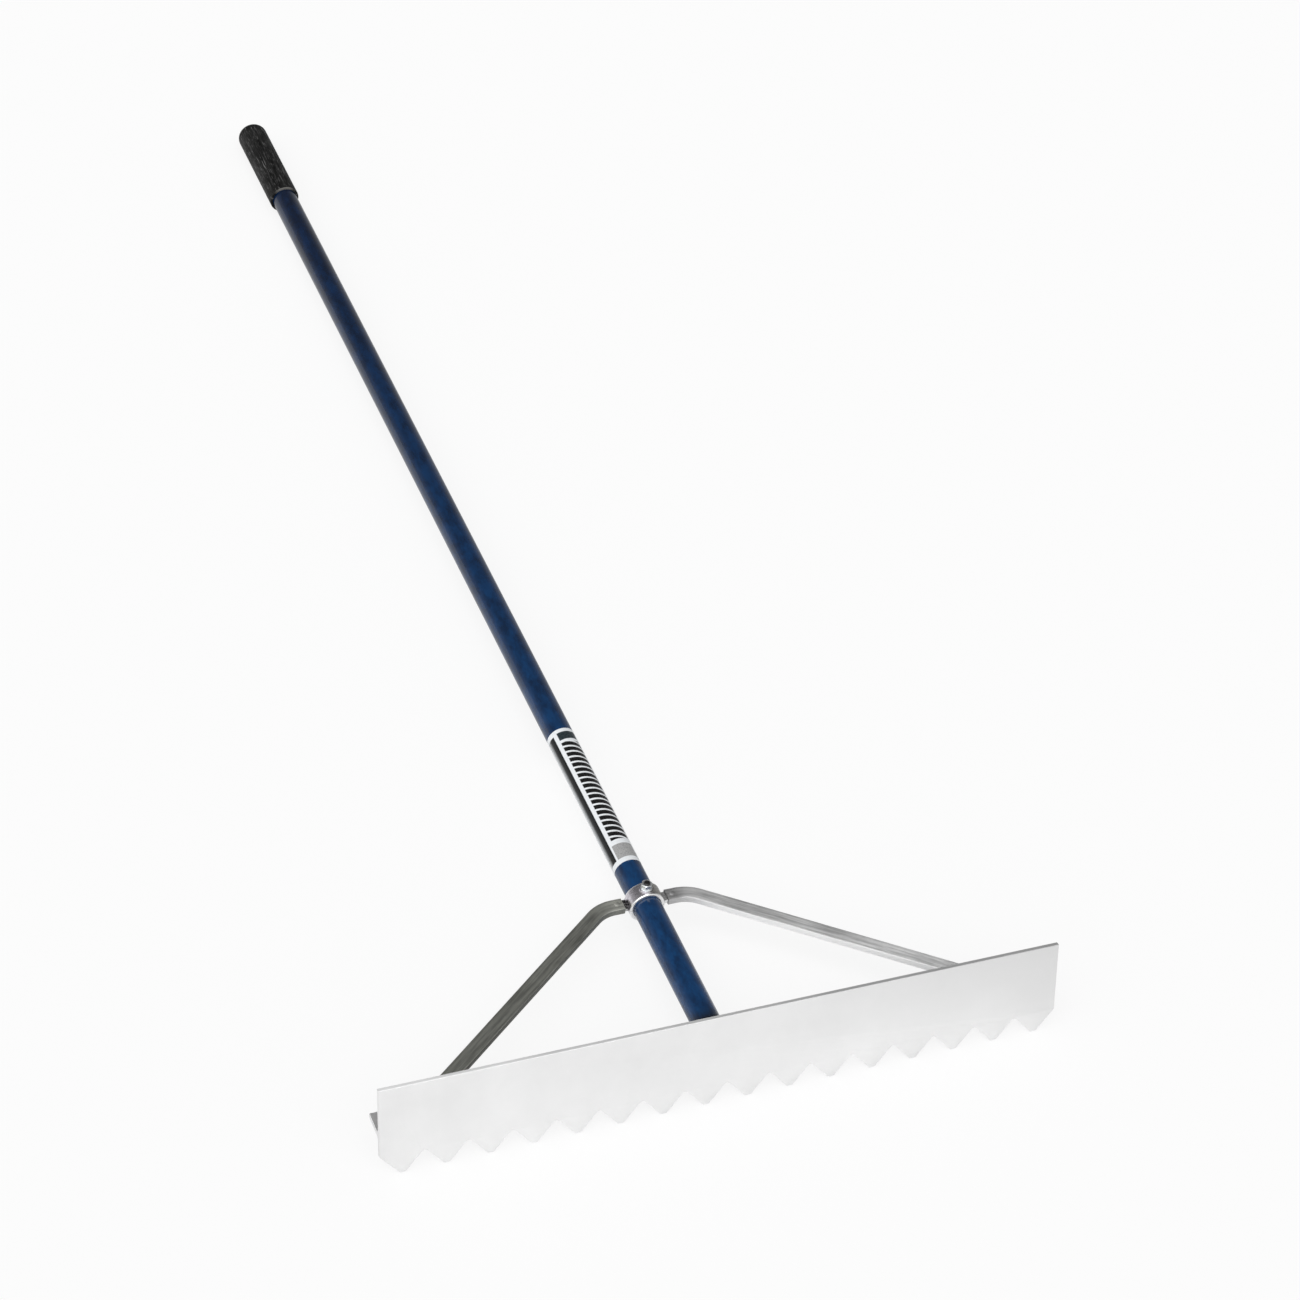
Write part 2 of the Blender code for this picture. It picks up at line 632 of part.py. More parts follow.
def make_frames():
    """The two frames, leaned back until the tips of the teeth and the grip's end lie on the ground."""
    grip_round = GRIP_DIAMETER / 2 - GRIP_END_RADIUS
    station = GRIP_END - GRIP_END_RADIUS
    reach = station * cos(HANDLE_ANGLE) + grip_round * sin(HANDLE_ANGLE) - BLADE_THICKNESS
    height = AXIS_HEIGHT + station * sin(HANDLE_ANGLE) - grip_round * cos(HANDLE_ANGLE)
    lean = acos(GRIP_END_RADIUS / hypot(reach, height)) - atan2(reach, height)
    slope = HANDLE_ANGLE - lean
    foot_y = AXIS_HEIGHT * sin(lean)
    foot_z = AXIS_HEIGHT * cos(lean) + BLADE_THICKNESS * sin(lean)
    length = foot_y + station * cos(slope) + grip_round * abs(sin(slope)) + GRIP_END_RADIUS
    frame = bpy.data.objects.new(HANDLE_FRAME, None)
    frame.location = (0, foot_y - length / 2, foot_z)
    frame.rotation_euler = (slope, 0, 0)
    head_frame = bpy.data.objects.new(HEAD_FRAME, None)
    head_frame.parent = frame
    head_frame.location = (0, -AXIS_HEIGHT * sin(HANDLE_ANGLE), -AXIS_HEIGHT * cos(HANDLE_ANGLE))
    head_frame.rotation_euler = (-HANDLE_ANGLE, 0, 0)
    for empty in (frame, head_frame):
        bpy.data.collections[PIECES].objects.link(empty)


def main():
    clear_scene()
    add_collections()
    make_frames()
    surfaces = make_materials()
    steel = surfaces["steel"]
    head = make_head(surfaces["aluminium"])
    tube = make_tube(surfaces["blue"])
    foot = make_foot(surfaces["casting"])
    make_grip(surfaces["rubber"])
    make_clamp(steel)

    drill(tube, (0, CLAMP_STATION, -TUBE_DIAMETER), (0, CLAMP_STATION, TUBE_DIAMETER))
    bolt_through("clamp", (0, CLAMP_STATION, -PAD_HEIGHT), (0, CLAMP_STATION, PAD_HEIGHT),
                 ("head", "nut"), steel)
    for item in (tube, foot):
        drill(item, (-TUBE_DIAMETER, CROSS_BOLT_STATION, 0), (TUBE_DIAMETER, CROSS_BOLT_STATION, 0))
    bolt_through("cross", (-TUBE_RADIUS, CROSS_BOLT_STATION, 0), (TUBE_RADIUS, CROSS_BOLT_STATION, 0),
                 (), steel)

    over = 2 * JAW_THICKNESS
    for side_name, side in (("left", -1), ("right", 1)):
        brace = make_brace(side_name + "_brace", side, steel)
        make_rivet(side_name + "_brace_rivet", side, steel)
        x, y = brace_path(brace_marks()[4], side)[0]
        for item in (head, brace):
            drill(item, (x, y, -over), (x, y, over))
        bolt_through(side_name + "_brace", (x, y, FLANGE_THICKNESS), (x, y, -GAP - TAB_THICKNESS),
                     ("head", "nut"), steel)
        x, y = side * FOOT_BOLT_SPREAD / 2, FOOT_BOLT_STATION
        for item in (head, foot):
            drill(item, (x, y, JAW_BOTTOM - over), (x, y, JAW_TOP + over))
        bolt_through(side_name + "_foot", (x, y, JAW_TOP), (x, y, JAW_BOTTOM), ("nut",), steel)
    shade_pieces()


main()
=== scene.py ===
"""Asphalt lute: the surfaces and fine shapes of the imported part, with its floor, light and camera.

Metres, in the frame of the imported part: the lute lies on the ground, on the tips of its teeth and
the end of its grip, with +Y along the handle. Each fine piece takes the place of one plain solid,
and the printed wrap is added. All but the foot, which is its plain solid softened, are drawn in two
local frames: in the handle's, Y runs up the handle from the blade's front face, and in the head's,
the blade stands upright with Z up from the tips of the teeth.
"""
from math import acos, asin, atan2, cos, hypot, pi, radians, sin, sqrt, tan

import bmesh
import bpy
from mathutils import Matrix, Vector


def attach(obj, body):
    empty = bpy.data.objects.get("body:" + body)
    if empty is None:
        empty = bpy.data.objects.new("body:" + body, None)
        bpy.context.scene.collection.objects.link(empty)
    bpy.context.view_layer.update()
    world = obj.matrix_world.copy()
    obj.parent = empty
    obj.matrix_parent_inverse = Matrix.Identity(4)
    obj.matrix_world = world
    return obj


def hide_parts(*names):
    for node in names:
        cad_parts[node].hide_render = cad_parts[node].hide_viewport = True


# Head, whose top edge stays just under the plain solid's
HEAD_WIDTH = 0.9144
HEAD_HEIGHT = 0.12698
BLADE_THICKNESS = 0.00635
TOOTH_COUNT = 16
TOOTH_DEPTH = 0.026
TIP_FLAT = 0.008
VALLEY_RADIUS = 0.004
FLANGE_THICKNESS = 0.00635
FLANGE_REACH = 0.0415
HEAD_EDGE_RADIUS = 0.001
ROOT_FILLET = 0.004
CUT_EDGE = 0.0004

# Handle
HANDLE_ANGLE = radians(13.6)
AXIS_HEIGHT = 0.053
TUBE_RADIUS = 0.01905
TUBE_WALL = 0.00165
TUBE_END = 2.074

# Grip
GRIP_WALL = 0.00365
GRIP_LENGTH = 0.188
GRIP_CAP = 0.006
GRIP_END_RADIUS = 0.014
GRIP_MOUTH_RADIUS = 0.0012

# Foot casting
FOOT_BACK = 0.006
FOOT_BOLT_SPREAD = 0.044
FOOT_BOLT_STATION = 0.0275
JAW_THICKNESS = 0.007
CROSS_BOLT_INSET = 0.020
CAST_VOXEL = 0.0007
CAST_SMOOTHING = 5

# Clamp
CLAMP_STATION = 0.294
STRAP_WIDTH = 0.024
STRAP_THICKNESS = 0.005
STRAP_SPLIT = 0.0006
STRAP_EDGE_RADIUS = 0.0005
STRAP_CROWN_RADIUS = 0.0022
PAD_MARGIN = 0.0015
PAD_RISE = 0.0009
TONGUE_LENGTH = 0.0185
TONGUE_ROOT = 0.0025

# Braces
BRACE_WIDTH = 0.020
BRACE_THICKNESS = 0.010
BRACE_WALL = 0.002
BRACE_CORNER = 0.0016
BRACE_SETBACK = 0.006
BEND_MARGIN = 0.0005
BEND_RADIUS = 0.050
BRACE_BOLT_INSET = 0.0513
TAB_BOLT_STATION = 0.025
PRESSED_SLIT = 0.0005
PRESSED_WIDTH = 0.024
PRESSED_MARGIN = 0.009
PRESSING_LENGTH = 0.026
RIVET_INSET = 0.0082
RIVET_RADIUS = 0.0025
RIVET_HEAD_RADIUS = 0.00425
RIVET_HEAD_HEIGHT = 0.0005

# Fasteners
BOLT_RADIUS = 0.004
BOLT_CLEARANCE = 0.0004
HEX_ACROSS = 3.25 * BOLT_RADIUS
HEX_HEAD = 1.32 * BOLT_RADIUS
HEX_FACE_SHARE = 0.95
HEX_CHAMFER_SLOPE = tan(radians(30))
NUT_HEIGHT = 1.62 * BOLT_RADIUS
NUT_BORE = BOLT_RADIUS + 0.00003
NUT_MOUTH_DEPTH = 0.0005
WASHER_RADIUS = 2 * BOLT_RADIUS
WASHER_BORE = BOLT_RADIUS + 0.0002
WASHER_THICKNESS = 0.0016
WASHER_UPPER_EDGE = 0.00035
WASHER_LOWER_EDGE = 0.0001
BOLT_STICKS_OUT = 0.002
SHANK_RADIUS = BOLT_RADIUS - 0.00005
THREAD_PITCH = 0.00125
THREAD_DEPTH = 0.0006

# Printed wrap, by station up the handle and by degrees round it from the top
WRAP_START, WRAP_END = 0.3534, 0.6131
WRAP_THICKNESS = 0.00015
WRAP_LAP = radians(8)
WRAP_RING = 0.0078
PANEL_START, PANEL_END = 0.3612, 0.3862
BARS_START, BARS_END = 0.3945, 0.5875
BLOCK_START, BLOCK_END = 0.5925, 0.6068
BAR_PITCH = 0.0105
BAR_SLANT = 0.00009
BAR_EDGE = (0.135, 0.165)
PRINT_LEFT, PRINT_RIGHT = -32.0, 50.0
PANEL_LEFT = -41.0
LINE_LEFT, LINE_RIGHT = -71.0, -49.5
LINE_FADE = 34.0
PRINT_BLUR = 0.0002
PRINT_BLUR_ROUND = 1.2

# Wear, and painted light and shade: where each starts and ends
BLADE_SHADE_X, BLADE_SHADE_Z = (0.05, HEAD_WIDTH / 2), (0.04, HEAD_HEIGHT)
WORN_TOP = (HEAD_HEIGHT - 0.0012, HEAD_HEIGHT - 0.0008)
WORN_X = (-HEAD_WIDTH / 2, HEAD_WIDTH / 4)
ARM_FADE = (0.08, 0.30)
ARM_SIDE_FADE = (0.0, 0.07)
ARM_SIDE_EDGE = (0.0001, 0.0005)
STRAP_EDGE_SHEEN = (STRAP_WIDTH / 2 - 0.0034, STRAP_WIDTH / 2 - 0.0014)
STRAP_SHADE = (-0.004, 0.008)
TONGUE_EDGE = (-0.0001, 0.0006)
TONGUE_SHADE = (-0.01, 0.01)
TUBE_FADE = (0.1, 1.9)
TUBE_SHADE = (0.068, 0.084)
RIM_LEFT, RIM_RIGHT = radians(-38), radians(34)
RIM_SOFT = radians(14)
RIM_EDGE = (0.0003, 0.0012)

# Each brace's greys: at its two ends, on the side that faces the blade at its two ends, and its tint. Most
# are painted light and shade: the right brace's top is painted lighter towards its far end, the left brace's
# side painted dark as shade, the right brace's side painted bright as a reflection
ARM_GREYS_WITH_PAINTED_LIGHT = {
    "left_brace": {"ends": (0.56, 0.56), "side": (0.30, 0.15), "tint": (1.0, 1.01, 0.92)},
    "right_brace": {"ends": (0.47, 0.68), "side": (0.60, 0.95), "tint": (1.0, 1.0, 1.0)},
}
# How far its streaks and clouds swing the grey at each end
ARM_SWINGS = (0.34, 0.30)

# Floor, with a patch of painted shade that only reflections see
FLOOR_HALF = 30.0
FLOOR_DROP = 0.0002
FLOOR_WHITE = 0.985
FLOOR_GREY = 0.90
CAMERA_WHITE = 0.86
GLOSS_WHITE = 0.25
REFLECTED_SHADE_GREY = 0.30
REFLECTED_SHADE_SHARE = 0.75
REFLECTED_SHADE_X, REFLECTED_SHADE_Y = (0.03, 0.12), (-0.80, -0.65)

# Sky and lamp
BRIGHT_SIDE = (-0.3, -0.95, 0.0)
BRIGHT_SPAN = (-0.45, 0.55)
SKY_HEIGHTS = (0.08, 0.62)
SKY_LOW, SKY_DARK = 0.42, 0.16
SKY_BRIGHT = 1.0
KEY_FROM = (-0.42, -0.30, 0.86)
KEY_ANGLE = radians(80)
KEY_STRENGTH = 1.55

# Photograph's camera
IMAGE_PIXELS = 1300
FOCAL_PIXELS = 3859.93
SENSOR_WIDTH = 36.0
CAMERA_PLACE = (-1.596277, -3.848871, 3.667302)
CAMERA_AZIMUTH = radians(26.519)
CAMERA_ELEVATION = radians(-42.295)
CAMERA_ROLL = radians(8.313)

# Clearances
GAP = 0.0003
DRILL_REACH = 0.02
MERGE_DISTANCE = 0.00001

# Facets
FLAT_ANGLE = radians(0.5)
SHARP_ANGLE = radians(35)
POLE_RADIUS = 0.0002
POLE_SHARE = 0.025
TAB_END_SHARE = 0.995
TUBE_STEPS = 128
ROUND_STEPS = 48
CORNER_STEPS = 6
VALLEY_STEPS = 20
GRIP_RINGS = 90
GRIP_END_STEPS, GRIP_MOUTH_STEPS = 20, 8
STRAP_STEPS = 64
BEND_STEPS, PRESSING_STEPS, TAB_END_STEPS = 28, 20, 14
DOME_STEPS = 8
FASTENER_STEPS = 72
CHAMFER_STEPS = 6
THREAD_STEPS = 10
WASHER_EDGE_STEPS = 5

# Sizes that follow from the ones above
TUBE_START = FLANGE_REACH + GAP + FOOT_BACK + GAP
CROSS_BOLT_STATION = TUBE_START + CROSS_BOLT_INSET
GRIP_END = TUBE_END + GAP + GRIP_CAP
GRIP_BORE = TUBE_RADIUS + GAP
GRIP_RADIUS = GRIP_BORE + GRIP_WALL
STRAP_INNER = TUBE_RADIUS + GAP
STRAP_OUTER = STRAP_INNER + STRAP_THICKNESS
PAD_HEIGHT = STRAP_OUTER + PAD_RISE
PAD_RADIUS = WASHER_RADIUS + PAD_MARGIN
BRACE_START = STRAP_OUTER + BRACE_SETBACK
BEND_START = STRAP_OUTER + TONGUE_LENGTH + BEND_MARGIN
BRACE_BOLT = HEAD_WIDTH / 2 - BRACE_BOLT_INSET
TAB_THICKNESS = 2 * BRACE_WALL + PRESSED_SLIT
RIVET_STATION = BRACE_START + RIVET_INSET
HOLE_RADIUS = BOLT_RADIUS + BOLT_CLEARANCE


# Frames

def local_frames():
    """The handle's and the head's frames, leaned back as the lute lies on the ground."""
    grip_round = GRIP_RADIUS - GRIP_END_RADIUS
    station = GRIP_END - GRIP_END_RADIUS
    reach = station * cos(HANDLE_ANGLE) + grip_round * sin(HANDLE_ANGLE) - BLADE_THICKNESS
    height = AXIS_HEIGHT + station * sin(HANDLE_ANGLE) - grip_round * cos(HANDLE_ANGLE)
    lean = acos(GRIP_END_RADIUS / hypot(reach, height)) - atan2(reach, height)
    slope = HANDLE_ANGLE - lean
    foot_y = AXIS_HEIGHT * sin(lean)
    foot_z = AXIS_HEIGHT * cos(lean) + BLADE_THICKNESS * sin(lean)
    length = foot_y + station * cos(slope) + grip_round * abs(sin(slope)) + GRIP_END_RADIUS
    handle = Matrix.Translation((0, foot_y - length / 2, foot_z)) @ Matrix.Rotation(slope, 4, "X")
    to_head = Matrix.Translation((0, -AXIS_HEIGHT * sin(HANDLE_ANGLE), -AXIS_HEIGHT * cos(HANDLE_ANGLE)))
    return handle, handle @ to_head @ Matrix.Rotation(-HANDLE_ANGLE, 4, "X")


# Outlines

def spaced(start, end, steps):
    return [start + (end - start) * step / steps for step in range(steps + 1)]


def arc(centre, radius, start, end, steps):
    """Points on an arc from one angle to another, both ends included."""
    return [(centre[0] + radius * cos(angle), centre[1] + radius * sin(angle))
            for angle in spaced(start, end, steps)]


def rounded_corner(before, corner, after, radius, steps=CORNER_STEPS):
    before, corner, after = Vector(before), Vector(corner), Vector(after)
    to_before = (before - corner).normalized()
    to_after = (after - corner).normalized()
    half = acos(max(-1.0, min(1.0, to_before.dot(to_after)))) / 2
    centre = corner + (to_before + to_after).normalized() * radius / sin(half)
    first = corner + to_before * radius / tan(half) - centre
    last = corner + to_after * radius / tan(half) - centre
    start = atan2(first.y, first.x)
    turn = (atan2(last.y, last.x) - start + pi) % (2 * pi) - pi
    return arc(centre, radius, start, start + turn, steps)


def rounded_outline(corners):
    """An outline from (u, v, radius) corners, where a radius of nothing keeps one sharp."""
    points = []
    for index, (u, v, radius) in enumerate(corners):
        before = corners[index - 1][:2]
        after = corners[(index + 1) % len(corners)][:2]
        points += rounded_corner(before, (u, v), after, radius) if radius else [(u, v)]
    return points


# Meshes

def mesh_from(name, shape):
    mesh = bpy.data.meshes.new(name)
    bmesh.ops.recalc_face_normals(shape, faces=shape.faces)
    shape.to_mesh(mesh)
    shape.free()
    return mesh


def add_object(name, data, matrix=Matrix()):
    item = bpy.data.objects.new(name, data)
    bpy.context.scene.collection.objects.link(item)
    item.matrix_world = matrix
    return item


def drawn_mesh(item):
    """The mesh that an outline or a piece's modifiers make."""
    bpy.context.view_layer.update()
    return bpy.data.meshes.new_from_object(item.evaluated_get(bpy.context.evaluated_depsgraph_get()))


def extrude_outlines(name, outlines, thickness, matrix):
    """Flat outlines in X and Y, of which inner ones are holes, given a thickness along Z."""
    flat = bpy.data.curves.new(name, "CURVE")
    flat.dimensions = "2D"
    flat.fill_mode = "BOTH"
    flat.extrude = thickness / 2
    for outline in outlines:
        spline = flat.splines.new("POLY")
        spline.points.add(len(outline) - 1)
        for corner, (u, v) in zip(spline.points, outline):
            corner.co = (u, v, 0.0, 1.0)
        spline.use_cyclic_u = True
    guide = add_object(name + "_outline", flat)
    drawn = drawn_mesh(guide)
    shape = bmesh.new()
    shape.from_mesh(drawn)
    bpy.data.meshes.remove(drawn)
    bmesh.ops.remove_doubles(shape, verts=shape.verts, dist=MERGE_DISTANCE)
    bmesh.ops.dissolve_limit(shape, angle_limit=FLAT_ANGLE, verts=shape.verts, edges=shape.edges)
    bpy.data.objects.remove(guide, do_unlink=True)
    bpy.data.curves.remove(flat)
    return add_object(name, mesh_from(name, shape), matrix)


def skin(name, rings, matrix, closed=False):
    """A surface over rings that all have as many points: capped at both ends, or closed on itself."""
    shape = bmesh.new()
    loops = [[shape.verts.new(point) for point in ring] for ring in rings]
    pairs = list(zip(loops, loops[1:]))
    if closed:
        pairs.append((loops[-1], loops[0]))
    else:
        shape.faces.new(loops[0])
        shape.faces.new(loops[-1])
    for near, far in pairs:
        for index in range(len(near)):
            after = (index + 1) % len(near)
            shape.faces.new((near[index], near[after], far[after], far[index]))
    return add_object(name, mesh_from(name, shape), matrix)


def round_ring(radius, height, steps):
    """A ring about Z, whose radius may be a function of the angle."""
    ring = []
    for step in range(steps):
        angle = 2 * pi * step / steps
        reach = radius(angle) if callable(radius) else radius
        ring.append((reach * cos(angle), reach * sin(angle), height))
    return ring


def turned(name, profile, matrix, steps=TUBE_STEPS, closed=False):
    """A piece turned about Z from (radius, height) points, whose radii may be functions of the angle."""
    return skin(name, [round_ring(radius, height, steps) for radius, height in profile], matrix, closed)


def bar_between(name, radius, start, end, matrix, steps=ROUND_STEPS):
    start, end = Vector(start), Vector(end)
    turn = Vector((0, 0, 1)).rotation_difference(end - start).to_matrix().to_4x4()
    place = matrix @ Matrix.Translation(start) @ turn
    return turned(name, [(radius, 0.0), (radius, (end - start).length)], place, steps)


def block_between(name, low, high, matrix):
    low, high = Vector(low), Vector(high)
    shape = bmesh.new()
    bmesh.ops.create_cube(shape, size=1.0)
    bmesh.ops.scale(shape, vec=high - low, verts=shape.verts)
    bmesh.ops.translate(shape, vec=(low + high) / 2, verts=shape.verts)
    return add_object(name, mesh_from(name, shape), matrix)


def settle(item):
    """Give a piece the mesh that its modifiers make."""
    made = drawn_mesh(item)
    item.modifiers.clear()
    item.data = made
    made.name = item.name


def combine(item, other, operation):
    """Join or cut a piece with another, which is used up."""
    step = item.modifiers.new(operation.title(), "BOOLEAN")
    step.operation = operation
    step.object = other
    settle(item)
    bpy.data.objects.remove(other, do_unlink=True)


def drill(item, start, end, matrix, radius=HOLE_RADIUS):
    combine(item, bar_between(item.name + "_hole", radius, start, end, matrix), "DIFFERENCE")


def round_edges(item, width, segments=3, angle=radians(30)):
    bevel = item.modifiers.new("Rounded edges", "BEVEL")
    bevel.width = width
    bevel.segments = segments
    bevel.limit_method = "ANGLE"
    bevel.angle_limit = angle
    bevel.harden_normals = False
    settle(item)


def finish(item, surface, slot, *nodes):
    """Give a piece its surface and its place, and put it in the place of the plain solids."""
    item.data.transform(item.matrix_world)
    item.matrix_world = Matrix()
    item.data.materials.clear()
    item.data.materials.append(surface)
    item.data.shade_smooth()
    item.data.set_sharp_from_angle(angle=SHARP_ANGLE)
    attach(item, "root")
    if nodes:
        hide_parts(*nodes)
    return item


# Head

def head_section():
    """The blade and its flange in cross-section, as (Y, Z) in the head's frame."""
    along = Vector((cos(HANDLE_ANGLE), sin(HANDLE_ANGLE)))
    across = Vector((-sin(HANDLE_ANGLE), cos(HANDLE_ANGLE)))
    under_root = Vector((BLADE_THICKNESS, AXIS_HEIGHT + BLADE_THICKNESS * tan(HANDLE_ANGLE)))
    top_root = under_root + Vector((0.0, FLANGE_THICKNESS / cos(HANDLE_ANGLE)))
    under_edge = Vector((0.0, AXIS_HEIGHT)) + along * FLANGE_REACH
    top_edge = under_edge + across * FLANGE_THICKNESS
    return rounded_outline([
        (0.0, 0.0, 0.0),
        (BLADE_THICKNESS, 0.0, 0.0),
        (*under_root, ROOT_FILLET),
        (*under_edge, HEAD_EDGE_RADIUS),
        (*top_edge, HEAD_EDGE_RADIUS),
        (*top_root, ROOT_FILLET),
        (BLADE_THICKNESS, HEAD_HEIGHT, HEAD_EDGE_RADIUS),
        (0.0, HEAD_HEIGHT, HEAD_EDGE_RADIUS),
    ])


def notch_outlines():
    """The gaps between the teeth, as (X, Z) in the head's frame, with half a gap at each end."""
    pitch = HEAD_WIDTH / TOOTH_COUNT
    half_mouth = (pitch - TIP_FLAT) / 2
    arc_height = TOOTH_DEPTH - VALLEY_RADIUS
    lean = acos(VALLEY_RADIUS / hypot(half_mouth, arc_height)) - atan2(arc_height, half_mouth)
    over = TOOTH_DEPTH / 2
    foot = half_mouth + over * tan(lean)
    peak = (half_mouth + over) / tan(lean)
    outlines = []
    for index in range(1, TOOTH_COUNT):
        centre = -HEAD_WIDTH / 2 + pitch * index
        valley = arc((centre, arc_height), VALLEY_RADIUS, lean, pi - lean, VALLEY_STEPS)
        outlines.append([(centre - foot, -over), (centre + foot, -over)] + valley)
    for side in (-1, 1):
        end = side * HEAD_WIDTH / 2
        outlines.append([(end - side * foot, -over), (end + side * over, -over), (end + side * over, peak)])
    return outlines


def make_head(handle, head_frame, surface):
    stand = Matrix.Rotation(pi / 2, 4, "Z") @ Matrix.Rotation(pi / 2, 4, "X")
    head = extrude_outlines("head", [head_section()], HEAD_WIDTH, head_frame @ stand)
    notches = extrude_outlines("notches", notch_outlines(), 4 * BLADE_THICKNESS,
                               head_frame @ Matrix.Rotation(pi / 2, 4, "X"))
    combine(head, notches, "DIFFERENCE")
    for side in (-1, 1):
        for x, y in ((BRACE_BOLT, TAB_BOLT_STATION), (FOOT_BOLT_SPREAD / 2, FOOT_BOLT_STATION)):
            drill(head, (side * x, y, -DRILL_REACH), (side * x, y, DRILL_REACH), handle)
    head.data.transform(head_frame.inverted() @ head.matrix_world)
    head.matrix_world = head_frame
    round_edges(head, CUT_EDGE, segments=2)
    return finish(head, surface, "head", "lute_head")


# Handle, wrap and grip

def handle_turn(handle):
    """The frame in which a piece turned about Z runs up the handle."""
    return handle @ Matrix.Rotation(-pi / 2, 4, "X")


def make_tube(handle, surface):
    bore = TUBE_RADIUS - TUBE_WALL
    tube = turned("tube", [(TUBE_RADIUS, TUBE_END), (TUBE_RADIUS, TUBE_START), (bore, TUBE_START),
                           (bore, TUBE_END)], handle_turn(handle), closed=True)
    over = 2 * TUBE_RADIUS
    drill(tube, (0, CLAMP_STATION, -over), (0, CLAMP_STATION, over), handle)
    drill(tube, (-over, CROSS_BOLT_STATION, 0), (over, CROSS_BOLT_STATION, 0), handle)
    return finish(tube, surface, "tube", "handle_tube")


def make_wrap(handle, surface):
    """A printed film round the tube, whose edge laps over itself underneath."""
    inner = TUBE_RADIUS + WRAP_THICKNESS / 4
    seam = pi / 2

    def outer(angle):
        past = (angle - seam) % (2 * pi)
        lap = max(0.0, 1.0 - past / WRAP_LAP)
        # Over its last quarter the lap thins to nothing
        return inner + WRAP_THICKNESS * (1 + min(1.0, 4 * lap))

    wrap = turned("printed_wrap", [(outer, WRAP_END), (outer, WRAP_START), (inner, WRAP_START),
                                   (inner, WRAP_END)], handle_turn(handle), closed=True)
    return finish(wrap, surface, "tube")


def make_grip(handle, surface):
    """A sleeve that closes over the end of the tube."""
    mouth = GRIP_END - GRIP_LENGTH
    end_centre = (GRIP_RADIUS - GRIP_END_RADIUS, GRIP_END - GRIP_END_RADIUS)
    mouth_centre = (GRIP_RADIUS - GRIP_MOUTH_RADIUS, mouth + GRIP_MOUTH_RADIUS)
    profile = [(POLE_RADIUS, GRIP_END)]
    profile += arc(end_centre, GRIP_END_RADIUS, pi / 2, 0, GRIP_END_STEPS)
    profile += [(GRIP_RADIUS, height) for height in spaced(end_centre[1], mouth_centre[1], GRIP_RINGS)[1:-1]]
    profile += arc(mouth_centre, GRIP_MOUTH_RADIUS, 0, -pi / 2, GRIP_MOUTH_STEPS)
    profile += [(GRIP_BORE, mouth), (GRIP_BORE, TUBE_END + GAP), (POLE_RADIUS, TUBE_END + GAP)]
    grip = turned("grip_sleeve", profile, handle_turn(handle))
    return finish(grip, surface, "grip", "grip")


# Foot casting

def make_foot(plain, surface):
    """The plain solid of the foot, with the soft edges of a casting."""
    foot = add_object("foot_casting", plain.data.copy())
    shape = bmesh.new()
    shape.from_mesh(foot.data)
    bmesh.ops.remove_doubles(shape, verts=shape.verts, dist=MERGE_DISTANCE)
    shape.to_mesh(foot.data)
    shape.free()
    remesh = foot.modifiers.new("Even faces", "REMESH")
    remesh.mode = "VOXEL"
    remesh.voxel_size = CAST_VOXEL
    smooth = foot.modifiers.new("Soft edges", "SMOOTH")
    smooth.iterations = CAST_SMOOTHING
    settle(foot)
    return finish(foot, surface, "casting", "handle_foot")


# Clamp

def strap_rings(side):
    """Half of the clamp's ring: its section, rounded along the outside, carried round the tube."""
    low, high = CLAMP_STATION - STRAP_WIDTH / 2, CLAMP_STATION + STRAP_WIDTH / 2
    section = rounded_outline([
        (STRAP_INNER, low, STRAP_EDGE_RADIUS), (STRAP_OUTER, low, STRAP_CROWN_RADIUS),
        (STRAP_OUTER, high, STRAP_CROWN_RADIUS), (STRAP_INNER, high, STRAP_EDGE_RADIUS),
    ])
    lean = asin(STRAP_SPLIT / 2 / STRAP_INNER)
    return [[(radius * cos(angle), station, side * radius * sin(angle)) for radius, station in section]
            for angle in spaced(lean, pi - lean, STRAP_STEPS)]


def make_strap(handle, name, side):
    strap = skin(name, strap_rings(side), handle)
    pad = bar_between(name + "_pad", PAD_RADIUS, (0, CLAMP_STATION, side * (STRAP_INNER + 2 * GAP)),
                      (0, CLAMP_STATION, side * PAD_HEIGHT), handle, STRAP_STEPS)
    combine(strap, pad, "UNION")
    drill(strap, (0, CLAMP_STATION, 0), (0, CLAMP_STATION, side * 2 * STRAP_OUTER), handle)
    return strap


def add_tongue(strap, side, handle):
    """A tongue on the side of the lower strap, which the brace slips over."""
    half_width = BRACE_WIDTH / 2 - BRACE_WALL - GAP
    half_thickness = BRACE_THICKNESS / 2 - BRACE_WALL - GAP
    start = STRAP_OUTER + GAP
    sides = sorted((side * start, side * (STRAP_OUTER + TONGUE_LENGTH)))
    tongue = block_between("tongue", (sides[0], CLAMP_STATION - half_width, -half_thickness),
                           (sides[1], CLAMP_STATION + half_width, half_thickness), handle)
    sides = sorted((side * (STRAP_OUTER - TONGUE_ROOT), side * (start + GAP)))
    root = block_between("tongue_root", (sides[0], CLAMP_STATION - half_width, -half_thickness),
                         (sides[1], CLAMP_STATION + half_width, -STRAP_SPLIT / 2), handle)
    combine(root, tongue, "UNION")
    combine(strap, root, "UNION")


def make_clamp(handle, surface):
    upper = make_strap(handle, "strap_upper", 1)
    lower = make_strap(handle, "strap_lower", -1)
    for side in (-1, 1):
        add_tongue(lower, side, handle)
        drill_rivet_hole(lower, side, handle)
    for strap, node in ((upper, "clamp_strap_upper"), (lower, "clamp_strap_lower")):
        round_edges(strap, STRAP_EDGE_RADIUS, angle=radians(50))
        finish(strap, surface, "strap", node)


# Braces

